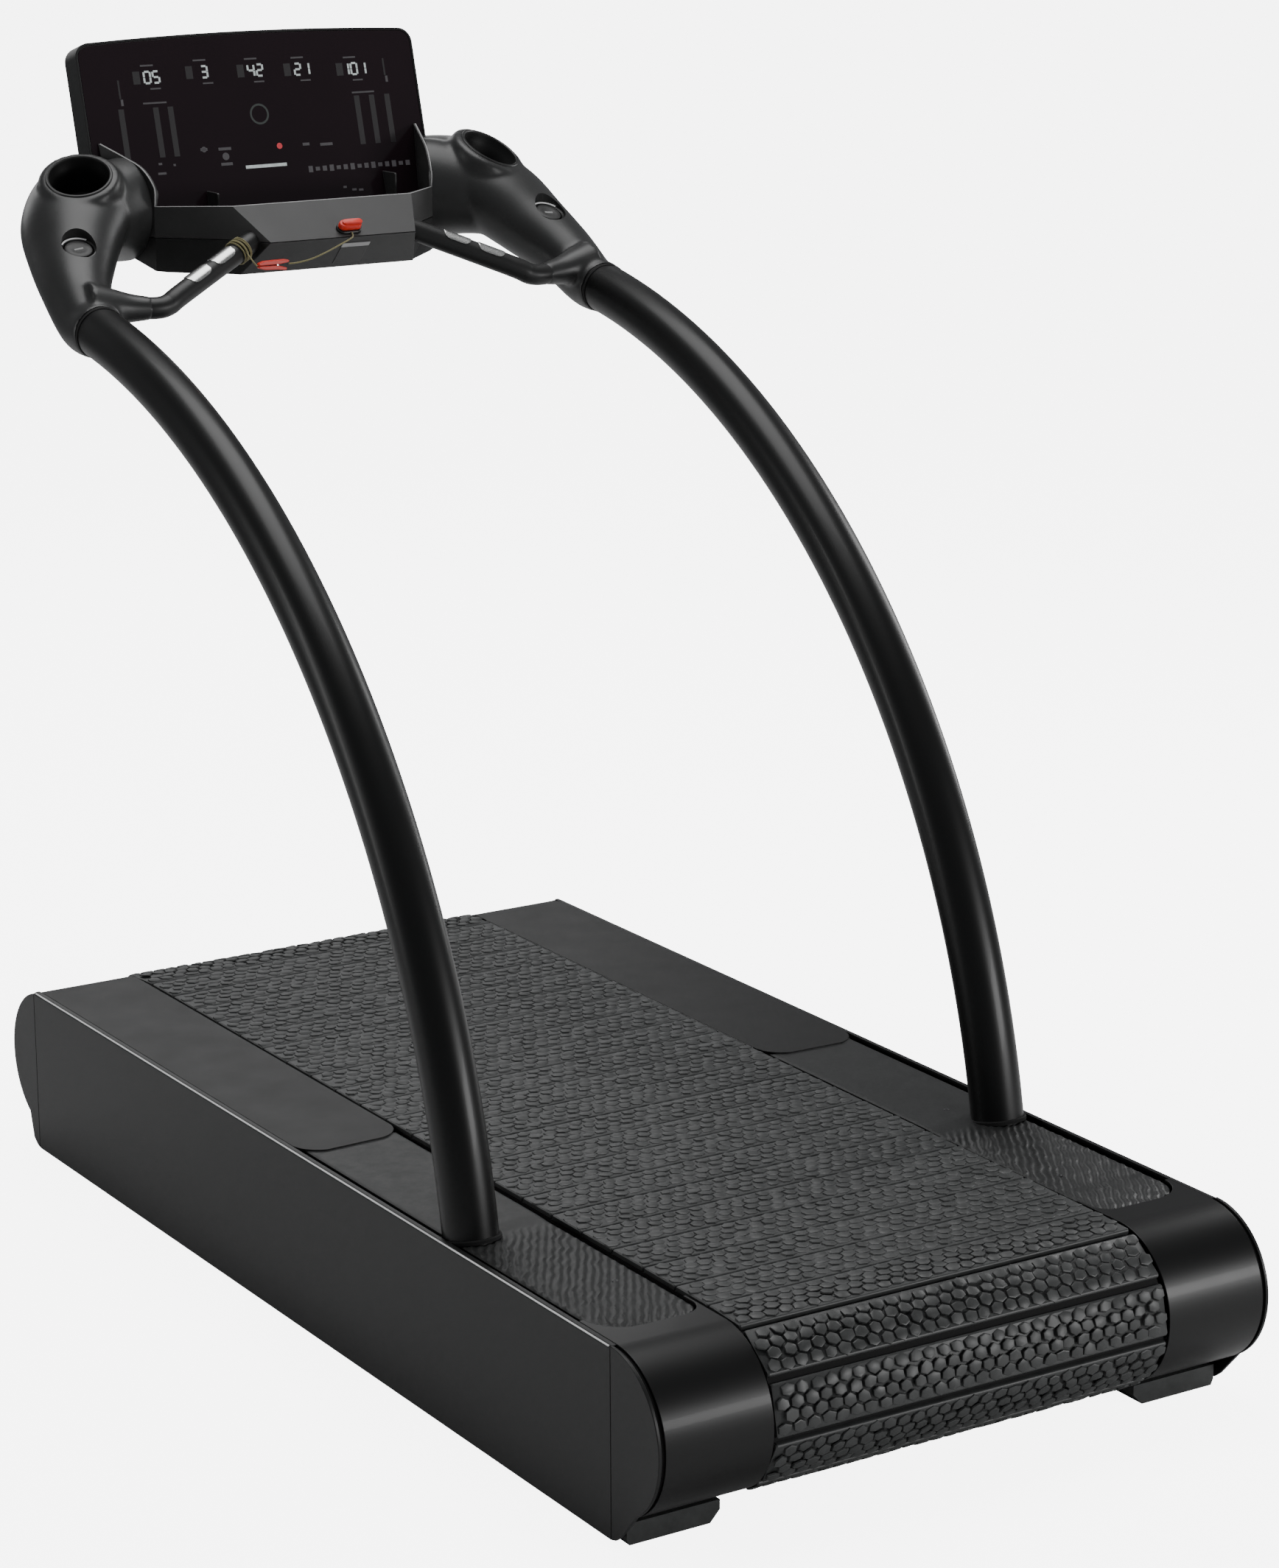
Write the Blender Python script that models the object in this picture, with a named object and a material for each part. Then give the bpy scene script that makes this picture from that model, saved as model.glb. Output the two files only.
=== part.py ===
"""Slat-belt treadmill with a flat running deck, two arched posts and a display console.

Metres, +Z up. +X is the runner's right, +Y is forward, towards the console. The origin is on the
floor under the middle of the object's bounding box.
"""

import math

import bmesh
import bpy
from mathutils import Vector

# Driving dimensions
HALF_WIDTH = 0.484  # outer face of a side panel
PLATE = 0.005  # sheet thickness of panels and end plates
GAP = 0.0005  # clearance between touching pieces
REAR_SEAM_Y = -0.887
FRONT_SEAM_Y = 0.833
DECK_Z = 0.264  # top of the covers
PANEL_BOTTOM_Z = 0.004
DRUM_Z = 0.152
REAR_DRUM_Y = REAR_SEAM_Y
FRONT_DRUM_Y = 0.807
COVER_R = 0.112
COVER_T = 0.004
COVER_INNER_X = 0.314
COVER_OUTER_X = 0.4735
LIP_INNER_X = 0.474

BELT_HALF_WIDTH = 0.310
BELT_OUTER_R = 0.116
BELT_INNER_R = 0.104
SLAT_COUNT = 53
SLAT_GROOVE = 0.003
SLAT_GROOVE_DEPTH = 0.006

RAIL_INNER_X, RAIL_OUTER_X = 0.320, 0.4645
RAIL_REAR_Y, RAIL_FRONT_Y = -0.846, -0.066
RAIL_T = 0.0055

FRAME_WEB_X = (0.322, 0.326)
FRAME_Z = (0.030, 0.2572)
FRAME_Y = (-0.850, 0.770)
FLANGE_T = 0.008
TOP_FLANGE_X = 0.392
BOTTOM_FLANGE_X = 0.465

SHAFT_R = 0.015
DRUM_R = 0.1034
DRIVE_X = (0.3485, 0.3685)  # the drive belt's plane, right of the frame
DRUM_PULLEY_R = 0.055
MOTOR_PULLEY_R = 0.022
MOTOR_Y, MOTOR_Z, MOTOR_R = 0.500, 0.130, 0.055

RACK_X, RACK_Y, RACK_TOP_Z = 0.400, (0.620, 0.650), 0.235
RACK_HALF = 0.010
PINION_R = 0.015
PINION_Y, PINION_Z = RACK_Y[1] + GAP + PINION_R, 0.075

POST_X = 0.435
POST_R = 0.0381
POST_WALL = 0.003
POST_FOOT = (-0.479, 0.0424)  # (y, z) of the post's lower end
POST_LEAN = math.radians(0.38)  # from the vertical, at the lower end
POST_BEND = 0.748  # curvature at the lower end, rad/m
POST_BEND_GROWTH = 0.0135
POST_LENGTH = 1.841
SEAM_LENGTH = 1.823  # along the post, where the arm casing begins

SCREEN_TILT = math.radians(15.3)
SCREEN_TOP = (0.960, 1.722)  # (y, z) of the top of the screen face
HOUSING_HALF_WIDTH = 0.295
HOUSING_HEIGHT = 0.290
HOUSING_DEPTH = 0.0427
HOUSING_WALL = 0.004
HOUSING_CORNER = 0.024
CROWN = 0.007  # how far the screen's top edge arches
LENS_T = 0.004

NOSE = (0.648, 1.437)  # (y, z) of the console's front edge
BAND_TOP = (0.713, 1.4875)
CONSOLE_PLAN = ((0.125, 0.648), (0.155, 0.713), (0.243, 0.803), (0.282, 0.925))
TRAY_WALL = 0.005
TRAY_FLOOR_T = 0.006
TRAY_SIDE = ((0.868, 1.556), (0.828, 1.540), (0.803, 1.512), (0.803, 1.484))  # (y, z) down the tray wall's curved edge
TRAY_REAR_TOP_Z = 1.572

CUP_CENTRE = Vector((0.356, 0.823, 1.527))
CUP_AXIS = Vector((0.27, -0.45, 0.851)).normalized()
CUP_R = 0.047
CUP_DEPTH = 0.062
ROCKER_CENTRE = Vector((0.408, 0.722, 1.4385))
ROCKER_NORMAL = Vector((0.10, -0.46, 0.88)).normalized()
ROCKER_R = 0.0215
ROCKER_RECESS_R = 0.0245
GRIP_R = 0.0165
GRIP_PATH = ((0.418, 0.633, 1.364), (0.372, 0.628, 1.361), (0.335, 0.621, 1.358), (0.312, 0.622, 1.361),
             (0.285, 0.630, 1.374), (0.160, 0.677, 1.427), (0.122, 0.692, 1.443))

BLACK_SATIN = ("satin_black_paint", (0.030, 0.031, 0.031), 0.38, 0.0)
GLOSS_BLACK = ("gloss_black_paint", (0.012, 0.012, 0.012), 0.16, 0.0)
MOULDED = ("moulded_charcoal", (0.045, 0.046, 0.046), 0.45, 0.0)
DARK_MOULDED = ("moulded_black", (0.018, 0.018, 0.018), 0.50, 0.0)
GREY_MOULDED = ("moulded_grey", (0.095, 0.095, 0.095), 0.50, 0.0)
RUBBER = ("black_rubber", (0.035, 0.036, 0.035), 0.80, 0.0)
STEEL = ("steel", (0.55, 0.55, 0.55), 0.30, 1.0)
FRAME_STEEL = ("frame_steel", (0.06, 0.06, 0.06), 0.45, 0.0)
ALUMINIUM = ("cast_aluminium", (0.60, 0.60, 0.60), 0.40, 1.0)
GLASS_BLACK = ("black_screen", (0.008, 0.006, 0.008), 0.08, 0.0)
BOARD_GREEN = ("circuit_board", (0.02, 0.12, 0.05), 0.60, 0.0)
RED = ("red_plastic", (0.75, 0.05, 0.03), 0.40, 0.0)
CORD_OLIVE = ("olive_cord", (0.17, 0.15, 0.05), 0.90, 0.0)


def clear_scene():
    for obj in list(bpy.data.objects):
        bpy.data.objects.remove(obj, do_unlink=True)


def material(recipe):
    name, colour, roughness, metallic = recipe
    if name in bpy.data.materials:
        return bpy.data.materials[name]
    made = bpy.data.materials.new(name)
    made.use_nodes = True
    shader = made.node_tree.nodes["Principled BSDF"]
    shader.inputs["Base Color"].default_value = (*colour, 1.0)
    shader.inputs["Roughness"].default_value = roughness
    shader.inputs["Metallic"].default_value = metallic
    return made


def solid(name, points, faces, recipe, origin=(0.0, 0.0, 0.0)):
    """An object from points and faces in world space, with its origin at the given point."""
    origin = Vector(origin)
    mesh = bpy.data.meshes.new(name)
    mesh.from_pydata([Vector(p) - origin for p in points], [], faces)
    work = bmesh.new()
    work.from_mesh(mesh)
    bmesh.ops.recalc_face_normals(work, faces=work.faces)
    work.to_mesh(mesh)
    work.free()
    obj = bpy.data.objects.new(name, mesh)
    obj.location = origin
    bpy.context.scene.collection.objects.link(obj)
    mesh.materials.append(material(recipe))
    mesh.shade_smooth()
    mesh.set_sharp_from_angle(angle=math.radians(35))
    return obj


def side_name(base, side):
    return f"{base}_{'right' if side > 0 else 'left'}"


def mirrored(points, side):
    return [(side * x, y, z) for x, y, z in points]


def prism_points(outline, low, high, axis):
    """Both ends of an outline extruded along X, Y or Z; the outline gives the other two coordinates."""
    if axis == "x":
        return [(c, a, b) for c in (low, high) for a, b in outline]
    if axis == "y":
        return [(a, c, b) for c in (low, high) for a, b in outline]
    return [(a, b, c) for c in (low, high) for a, b in outline]


def prism_faces(count):
    sides = [(i, (i + 1) % count, count + (i + 1) % count, count + i) for i in range(count)]
    return sides + [tuple(range(count)), tuple(range(count, 2 * count))]


def prism(name, outline, low, high, axis, recipe, side=1, origin=(0.0, 0.0, 0.0)):
    points = mirrored(prism_points(outline, low, high, axis), side)
    return solid(name, points, prism_faces(len(outline)), recipe, origin)


def box(name, low, high, recipe, side=1, bevel=0.0, origin=(0.0, 0.0, 0.0)):
    outline = [(low[0], low[1]), (high[0], low[1]), (high[0], high[1]), (low[0], high[1])]
    obj = prism(name, outline, low[2], high[2], "z", recipe, side, origin)
    if bevel:
        add_bevel(obj, bevel)
    return obj


def add_bevel(obj, width, segments=2):
    bevel = obj.modifiers.new("edges", "BEVEL")
    bevel.width = width
    bevel.segments = segments
    bevel.limit_method = "ANGLE"
    bevel.angle_limit = math.radians(40)


def boolean(obj, other, operation="DIFFERENCE"):
    """Cuts or joins another closed object, which then stays as a hidden guide."""
    other.hide_render = True
    other.display_type = "WIRE"
    step = obj.modifiers.new(other.name, "BOOLEAN")
    step.operation = operation
    step.solver = "EXACT"
    step.object = other


def arc(centre, radius, start, end, steps):
    """Points on an arc, with angles in degrees."""
    turns = [math.radians(start + (end - start) * i / steps) for i in range(steps + 1)]
    return [(centre[0] + radius * math.cos(t), centre[1] + radius * math.sin(t)) for t in turns]


def turned(name, profile, centre, recipe, axis=(1, 0, 0), sides=32, side=1):
    """A profile of (radius, place along the axis) turned about an axis; radius 0 closes an end."""
    turn = Vector((0, 0, 1)).rotation_difference(Vector(axis)).to_matrix()
    points, rings = [], []
    for radius, along in profile:
        if radius == 0:
            rings.append([len(points)])
            points.append(turn @ Vector((0, 0, along)))
            continue
        rings.append(list(range(len(points), len(points) + sides)))
        for i in range(sides):
            angle = math.tau * i / sides
            points.append(turn @ Vector((radius * math.cos(angle), radius * math.sin(angle), along)))
    points = mirrored([p + Vector(centre) for p in points], side)
    closed = profile[0][0] != 0
    pairs = list(zip(rings, rings[1:] + rings[:1] if closed else rings[1:]))
    origin = mirrored([centre], side)[0]
    return solid(name, points, [face for pair in pairs for face in ring_faces(*pair)], recipe, origin)


def ring_faces(first, second):
    """Faces between two rings of point numbers, either of which may be a single point."""
    count = max(len(first), len(second))
    faces = []
    for i in range(count):
        j = (i + 1) % count
        if len(first) == 1:
            faces.append((first[0], second[i], second[j]))
        elif len(second) == 1:
            faces.append((first[j], first[i], second[0]))
        else:
            faces.append((first[i], first[j], second[j], second[i]))
    return faces


def sections_along(path, radii, sides):
    """Rings of points square to a path. Each radius is (level half width, half height)."""
    path = [Vector(p) for p in path]
    rings = []
    for i, centre in enumerate(path):
        ahead = (path[min(i + 1, len(path) - 1)] - path[max(i - 1, 0)]).normalized()
        level = ahead.cross(Vector((0, 0, 1))).normalized()
        upward = level.cross(ahead)
        width, height = radii[i]
        angles = [math.tau * k / sides for k in range(sides)]
        rings.append([centre + level * width * math.cos(a) + upward * height * math.sin(a) for a in angles])
    return rings


def loft(name, rings, recipe, side=1, hole_rings=None, origin=(0.0, 0.0, 0.0)):
    """A closed skin over rings, with flat ends, or an open-ended pipe where hole_rings are given."""
    sides = len(rings[0])
    stack = rings + (hole_rings[::-1] if hole_rings else [])
    points = mirrored([p for ring in stack for p in ring], side)
    numbers = [list(range(i * sides, (i + 1) * sides)) for i in range(len(stack))]
    following = numbers[1:] + numbers[:1] if hole_rings else numbers[1:]
    faces = [face for pair in zip(numbers, following) for face in ring_faces(*pair)]
    if not hole_rings:
        faces += [tuple(numbers[0]), tuple(numbers[-1])]
    return solid(name, points, faces, recipe, origin)


def side_panel(side):
    bend = arc((HALF_WIDTH - PLATE, DECK_Z - PLATE), PLATE, 0, 90, 4)
    outline = [(HALF_WIDTH - PLATE, PANEL_BOTTOM_Z), (HALF_WIDTH, PANEL_BOTTOM_Z), *bend,
               (LIP_INNER_X, DECK_Z), (LIP_INNER_X, DECK_Z - PLATE), (HALF_WIDTH - PLATE, DECK_Z - PLATE)]
    prism(side_name("side_panel", side), outline, REAR_SEAM_Y + GAP, FRONT_SEAM_Y - GAP, "y", BLACK_SATIN,
          side)


def end_plate(place, side):
    """The D-shaped plate that carries on the side panel's outline round the end of the deck."""
    forward = 1 if place == "front" else -1
    seam, drum = (FRONT_SEAM_Y, FRONT_DRUM_Y) if forward > 0 else (REAR_SEAM_Y, REAR_DRUM_Y)
    inset = abs(seam - drum)
    start = math.degrees(math.acos(inset / COVER_R))
    rim = arc((-inset, DRUM_Z), COVER_R, start, -58, 18)
    outline = [*rim, (0.022, 0.016), (0.010, 0.007), (0.0, PANEL_BOTTOM_Z)]
    outline = [(seam + forward * (reach + GAP), z) for reach, z in outline]
    name = side_name(f"end_plate_{place}", side)
    prism(name, outline, HALF_WIDTH - PLATE, HALF_WIDTH, "x", BLACK_SATIN, side)


def cover_profile(forward, drum_y, inner_y):
    """A sheet along the deck's top that wraps round the drum to its underside, as a (y, z) outline."""
    skins = []
    for radius in (COVER_R, COVER_R - COVER_T):
        rim = arc((0, DRUM_Z), radius, 90, -72, 20)
        skins.append([(drum_y + forward * reach, z) for reach, z in rim])
    outer, inner = skins
    return [(inner_y, DECK_Z), *outer, *inner[::-1], (inner_y, DECK_Z - COVER_T)]


def foot_rail_outline(grow):
    """Plan of the foot rail: round corners at the rear, a hollow front end for the deck cover's nose."""
    inner, outer = RAIL_INNER_X - grow, RAIL_OUTER_X + grow
    rear = RAIL_REAR_Y - grow
    big, small = 0.055, 0.030
    corner = arc((outer - big, rear + big), big, 0, -90, 8)
    corner += arc((inner + small, rear + small), small, -90, -180, 6)
    front = [(x, y - 0.0015) for x, y in cover_nose_outline() if inner < x < outer]
    y_at_edge = front[0][1]
    return corner + [(inner, y_at_edge), *front, (outer, front[-1][1])]


def cover_nose_outline():
    """The deck cover's rear edge in plan, bulging to the rear between two round corners, from inside out."""
    left = arc((COVER_INNER_X + 0.045, RAIL_FRONT_Y + 0.048), 0.045, 180, 256, 5)
    right = arc((COVER_OUTER_X - 0.045, RAIL_FRONT_Y + 0.045), 0.045, 284, 360, 5)
    return left + right


def foot_rail(side):
    name = side_name("foot_rail", side)
    rail = prism(name, foot_rail_outline(0.0), DECK_Z - RAIL_T, DECK_Z - GAP, "z", RUBBER, side)
    boolean(rail, post_guide(side_name("rail_hole", side), POST_R + 2 * GAP, side))


def rear_cover(side):
    name = side_name("rear_cover", side)
    outline = cover_profile(-1, REAR_DRUM_Y, RAIL_REAR_Y + 0.050)
    cover = prism(name, outline, COVER_INNER_X, COVER_OUTER_X, "x", GLOSS_BLACK, side)
    notch = prism(side_name("rail_notch", side), foot_rail_outline(0.001), DECK_Z - 0.03, DECK_Z + 0.03, "z",
                  RUBBER, side)
    boolean(cover, notch)


def deck_cover(side):
    name = side_name("deck_cover", side)
    outline = cover_profile(1, FRONT_DRUM_Y, RAIL_FRONT_Y - 0.02)
    cover = prism(name, outline, COVER_INNER_X, COVER_OUTER_X, "x", MOULDED, side)
    nose = cover_nose_outline()
    far = FRONT_DRUM_Y + COVER_R + 0.05
    keep = [(COVER_INNER_X - 0.01, far), (COVER_INNER_X - 0.01, nose[0][1]), *nose[1:-1],
            (COVER_OUTER_X + 0.01, nose[-1][1]), (COVER_OUTER_X + 0.01, far)]
    shape = prism(side_name("nose_shape", side), keep, 0.0, DECK_Z + 0.05, "z", MOULDED, side)
    boolean(cover, shape, "INTERSECT")


def frame_rail(side):
    web_in, web_out = FRAME_WEB_X
    low, high = FRAME_Z
    outline = [(web_in, low), (BOTTOM_FLANGE_X, low), (BOTTOM_FLANGE_X, low + FLANGE_T),
               (web_out, low + FLANGE_T), (web_out, high - FLANGE_T), (TOP_FLANGE_X, high - FLANGE_T),
               (TOP_FLANGE_X, high), (web_in, high)]
    rail = prism(side_name("frame_rail", side), outline, *FRAME_Y, "y", FRAME_STEEL, side)
    slot = box(side_name("rack_slot", side), (RACK_X - 0.015, RACK_Y[0] - 0.005, 0.0),
               (RACK_X + 0.015, RACK_Y[1] + 0.005, 0.06), FRAME_STEEL, side)
    hole = turned(side_name("shaft_hole", side), [(0, -0.02), (0.013, -0.02), (0.013, 0.02), (0, 0.02)],
                  (web_in, PINION_Y, PINION_Z), FRAME_STEEL, sides=20, side=side)
    boolean(rail, slot)
    boolean(rail, hole)


def cross_member(place, y):
    reach = FRAME_WEB_X[0] - GAP
    box(f"cross_member_{place}", (-reach, y - 0.025, 0.100), (reach, y + 0.025, 0.160), FRAME_STEEL)


def belt_loop(radius, y_rear, y_front, steps):
    """A stadium outline (y, z) with its round ends on the two drums."""
    front = arc((y_front, DRUM_Z), radius, 90, -90, steps)
    rear = arc((y_rear, DRUM_Z), radius, 270, 90, steps)
    return front + rear


def slat_loop_point(distance, radius_cut):
    """The (y, z) point at a distance round the belt's outer face, from the rear end of the top run."""
    run = FRONT_DRUM_Y - REAR_DRUM_Y
    bend = math.pi * BELT_OUTER_R
    radius = BELT_OUTER_R - radius_cut
    distance %= 2 * (run + bend)
    if distance < run:
        return (REAR_DRUM_Y + distance, DRUM_Z + radius)
    distance -= run
    if distance < bend:
        angle = math.pi / 2 - distance / BELT_OUTER_R
        return (FRONT_DRUM_Y + radius * math.cos(angle), DRUM_Z + radius * math.sin(angle))
    distance -= bend
    if distance < run:
        return (FRONT_DRUM_Y - distance, DRUM_Z - radius)
    angle = -math.pi / 2 - (distance - run) / BELT_OUTER_R
    return (REAR_DRUM_Y + radius * math.cos(angle), DRUM_Z + radius * math.sin(angle))


def slat_belt():
    """The running belt: one loop of slats, with a groove between each slat and the next."""
    length = 2 * (FRONT_DRUM_Y - REAR_DRUM_Y) + math.tau * BELT_OUTER_R
    pitch = length / SLAT_COUNT
    half = SLAT_GROOVE / 2
    outer = []
    for i in range(SLAT_COUNT):
        start = (i + 0.37) * pitch
        cuts = [(start - half, 0.0), (start - half, SLAT_GROOVE_DEPTH), (start + half, SLAT_GROOVE_DEPTH)]
        cuts += [(start + half, 0.0), (start + pitch / 3, 0.0), (start + 2 * pitch / 3, 0.0)]
        outer += [slat_loop_point(distance, cut) for distance, cut in cuts]
    inner = belt_loop(BELT_INNER_R, REAR_DRUM_Y, FRONT_DRUM_Y, 28)
    count, inner_count = len(outer), len(inner)
    points = prism_points(outer + inner, -BELT_HALF_WIDTH, BELT_HALF_WIDTH, "x")
    total = count + inner_count
    faces = [(i, (i + 1) % count, total + (i + 1) % count, total + i) for i in range(count)]
    for i in range(inner_count):
        j = (i + 1) % inner_count
        faces.append((count + i, total + count + i, total + count + j, count + j))
    belt = solid("slat_belt", points, faces, RUBBER)
    work = bmesh.new()
    work.from_mesh(belt.data)
    rims = [edge for edge in work.edges if edge.is_boundary]
    for low in (True, False):
        end = [edge for edge in rims if (edge.verts[0].co.x < 0) == low]
        bmesh.ops.triangle_fill(work, use_beauty=True, edges=end)
    bmesh.ops.recalc_face_normals(work, faces=work.faces)
    work.to_mesh(belt.data)
    work.free()


def bearing_rail(side):
    """The bar of guide rollers that carries the slats' top run."""
    box(side_name("bearing_rail", side), (0.255, -0.770, 0.160 + GAP), (0.285, 0.690, 0.2550), ALUMINIUM,
        side)


def drum(place, y):
    """A drum shaft with the two sheaves that the slats run over."""
    left_end = 0.345
    right_end = DRIVE_X[1] + 0.0035 if place == "front" else left_end
    sheave = [(SHAFT_R, 0.300), (DRUM_R, 0.300), (DRUM_R, 0.250), (0.040, 0.250)]
    profile = [(0, -left_end), (SHAFT_R, -left_end)] + [(r, -x) for r, x in sheave]
    profile += sheave[::-1] + [(SHAFT_R, right_end), (0, right_end)]
    turned(f"{place}_drum", profile, (0, y, DRUM_Z), STEEL, sides=36)


def shaft_bearing(place, y, side):
    """A flat bearing block outboard of the frame web, bored for the drum shaft."""
    inward = 1 if place == "rear" else -1
    ends = sorted((y - inward * 0.040, y + inward * 0.085))
    low = (FRAME_WEB_X[1] + GAP, ends[0], DRUM_Z - 0.045)
    high = (FRAME_WEB_X[1] + 0.0125, ends[1], DRUM_Z + 0.045)
    block = box(side_name(f"shaft_bearing_{place}", side), low, high, ALUMINIUM, side)
    bore = turned(side_name(f"bore_{place}", side), [(0, -0.03), (0.0155, -0.03), (0.0155, 0.03), (0, 0.03)],
                  (0.333, y, DRUM_Z), ALUMINIUM, side=side)
    boolean(block, bore)


def drive_parts():
    middle = sum(DRIVE_X) / 2
    half = (DRIVE_X[1] - DRIVE_X[0]) / 2
    ring = [(SHAFT_R + GAP, -half), (DRUM_PULLEY_R, -half), (DRUM_PULLEY_R, half), (SHAFT_R + GAP, half)]
    turned("drum_pulley", ring, (middle, FRONT_DRUM_Y, DRUM_Z), ALUMINIUM)
    pulley = [(0, -half), (MOTOR_PULLEY_R, -half), (MOTOR_PULLEY_R, half), (0.009, half), (0.009, 0.0185),
              (0, 0.0185)]
    turned("motor_pulley", pulley, (middle, MOTOR_Y, MOTOR_Z), ALUMINIUM)
    body = [(0, 0.378), (MOTOR_R - 0.006, 0.378), (MOTOR_R, 0.384), (MOTOR_R, 0.462), (MOTOR_R - 0.008, 0.470),
            (0, 0.470)]
    motor = turned("drive_motor", body, (0, MOTOR_Y, MOTOR_Z), ALUMINIUM)
    foot_top = MOTOR_Z - MOTOR_R + 0.02
    base = box("motor_base", (0.390, MOTOR_Y - 0.035, FRAME_Z[0] + FLANGE_T + GAP),
               (0.455, MOTOR_Y + 0.035, foot_top),
               ALUMINIUM)
    boolean(motor, base, "UNION")
    drive_belt(DRIVE_X[0] + 0.002, DRIVE_X[1] - 0.002)


def drive_belt(low, high):
    """A closed belt round the motor pulley and the drum pulley."""
    reach = Vector((FRONT_DRUM_Y - MOTOR_Y, DRUM_Z - MOTOR_Z))
    heading = math.degrees(math.atan2(reach.y, reach.x))
    spread = math.degrees(math.acos((DRUM_PULLEY_R - MOTOR_PULLEY_R) / reach.length))
    loops = []
    for clearance in (GAP + 0.004, GAP):
        big = arc((FRONT_DRUM_Y, DRUM_Z), DRUM_PULLEY_R + clearance, heading + 180 - spread,
                  heading - 180 + spread, 20)
        small = arc((MOTOR_Y, MOTOR_Z), MOTOR_PULLEY_R + clearance, heading - 180 + spread,
                    heading - 180 - spread, 12)
        loops.append(big + small)
    outer, inner = ([Vector((0, y, z)) for y, z in loop] for loop in loops)
    shift_low, shift_high = Vector((low, 0, 0)), Vector((high, 0, 0))
    rings = [[p + shift_low for p in outer], [p + shift_high for p in outer]]
    holes = [[p + shift_low for p in inner], [p + shift_high for p in inner]]
    loft("drive_belt", rings, RUBBER, hole_rings=holes)


def power_inlet():
    """The mains inlet, at the front of the left frame rail, with a shallow recess that faces forward."""
    low, high = (0.345, 0.700, FRAME_Z[0] + FLANGE_T + GAP), (0.395, 0.745, 0.072)
    inlet = box("power_inlet", low, high, DARK_MOULDED, -1)
    recess = box("inlet_recess", (0.351, 0.742, 0.045), (0.389, 0.760, 0.066), DARK_MOULDED, -1)
    boolean(inlet, recess)


def elevation_rack(side):
    """A front foot on a rack, which the pinion drives down to tilt the deck."""
    middle = sum(RACK_Y) / 2
    bar = box(side_name("elevation_rack", side), (RACK_X - RACK_HALF, RACK_Y[0], 0.006),
              (RACK_X + RACK_HALF, RACK_Y[1], RACK_TOP_Z), STEEL, side)
    pad = turned(side_name("pad", side), [(0, 0), (0.026, 0), (0.026, 0.010), (0.020, 0.014), (0, 0.014)],
                 (RACK_X, middle, 0), RUBBER, (0, 0, 1), 24, side)
    boolean(bar, pad, "UNION")


def elevation_shaft():
    half = [(0.010, 0.415), (0.010, 0.410), (PINION_R, 0.410), (PINION_R, 0.390), (0.010, 0.390)]
    profile = [(0, -0.415)] + [(r, -x) for r, x in half] + half[::-1] + [(0, 0.415)]
    turned("elevation_shaft", profile, (0, PINION_Y, PINION_Z), STEEL, sides=24)


def rear_foot(side):
    outline = [(0.348, 0.0), (0.468, 0.0), (0.472, 0.008), (0.472, FRAME_Z[0] - GAP),
               (0.333, FRAME_Z[0] - GAP),
               (0.333, 0.016)]
    prism(side_name("rear_foot", side), outline, -0.905, -0.815, "y", RUBBER, side)


def post_point(distance):
    """(y, z) at a distance along the post, by short straight steps of a slowly tightening arc."""
    y, z = POST_FOOT
    steps = 40
    for i in range(steps):
        step = distance / steps
        along = (i + 0.5) * step
        lean = POST_LEAN + POST_BEND * along + POST_BEND_GROWTH * along * along / 2
        y += step * math.sin(lean)
        z += step * math.cos(lean)
    return y, z


def post_rings(radius, start, end, count, sides=18):
    distances = [start + (end - start) * i / (count - 1) for i in range(count)]
    path = [(POST_X, *post_point(d)) for d in distances]
    rings = []
    for i, centre in enumerate(path):
        ahead = Vector(path[min(i + 1, count - 1)]) - Vector(path[max(i - 1, 0)])
        ahead.normalize()
        across = Vector((1, 0, 0))
        upward = across.cross(ahead)
        angles = [math.tau * k / sides for k in range(sides)]
        rings.append([Vector(centre) + radius * (across * math.cos(a) + upward * math.sin(a)) for a in angles])
    return rings


def post_guide(name, radius, side):
    """A plain bent rod where the post's lower end runs, to cut clearance holes with."""
    return loft(name, post_rings(radius, -0.03, 0.40, 10, 24), GLOSS_BLACK, side)


def post(side):
    outer = post_rings(POST_R, 0.0, POST_LENGTH, 26)
    inner = post_rings(POST_R - POST_WALL, 0.0, POST_LENGTH, 26)
    loft(side_name("post", side), outer, GLOSS_BLACK, side, hole_rings=inner)


def post_bracket(side):
    """The clamp block that holds the post's lower end to the frame rail."""
    block = box(side_name("post_bracket", side), (FRAME_WEB_X[1] + GAP, -0.545, 0.050),
                (0.4778, -0.395, 0.235),
                FRAME_STEEL, side)
    boolean(block, post_guide(side_name("bracket_bore", side), POST_R + 2 * GAP, side))


def screen_point(x, up, out):
    """A point from the top middle of the screen face: x across, up along the face, out towards the runner."""
    y, z = SCREEN_TOP
    tilt = SCREEN_TILT
    return (x, y + up * math.sin(tilt) - out * math.cos(tilt),
            z + up * math.cos(tilt) + out * math.sin(tilt))


def rounded_rectangle(half_width, bottom, top, radius, crown=0.0):
    """Anticlockwise outline with round upper corners, smaller lower ones and a slightly arched top."""
    low = min(radius, 0.012)
    points = arc((half_width - low, bottom + low), low, -90, 0, 3)
    points += arc((half_width - radius, top - radius), radius, 0, 90, 5)
    points += [(half_width * t, top + crown * (1 - t * t)) for t in (0.5, 0.0, -0.5)]
    points += arc((-half_width + radius, top - radius), radius, 90, 180, 5)
    points += arc((-half_width + low, bottom + low), low, 180, 270, 3)
    return points


def screen_slab(name, outline, out_low, out_high, recipe):
    points = [screen_point(x, up, out) for out in (out_low, out_high) for x, up in outline]
    return solid(name, points, prism_faces(len(outline)), recipe)


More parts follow.
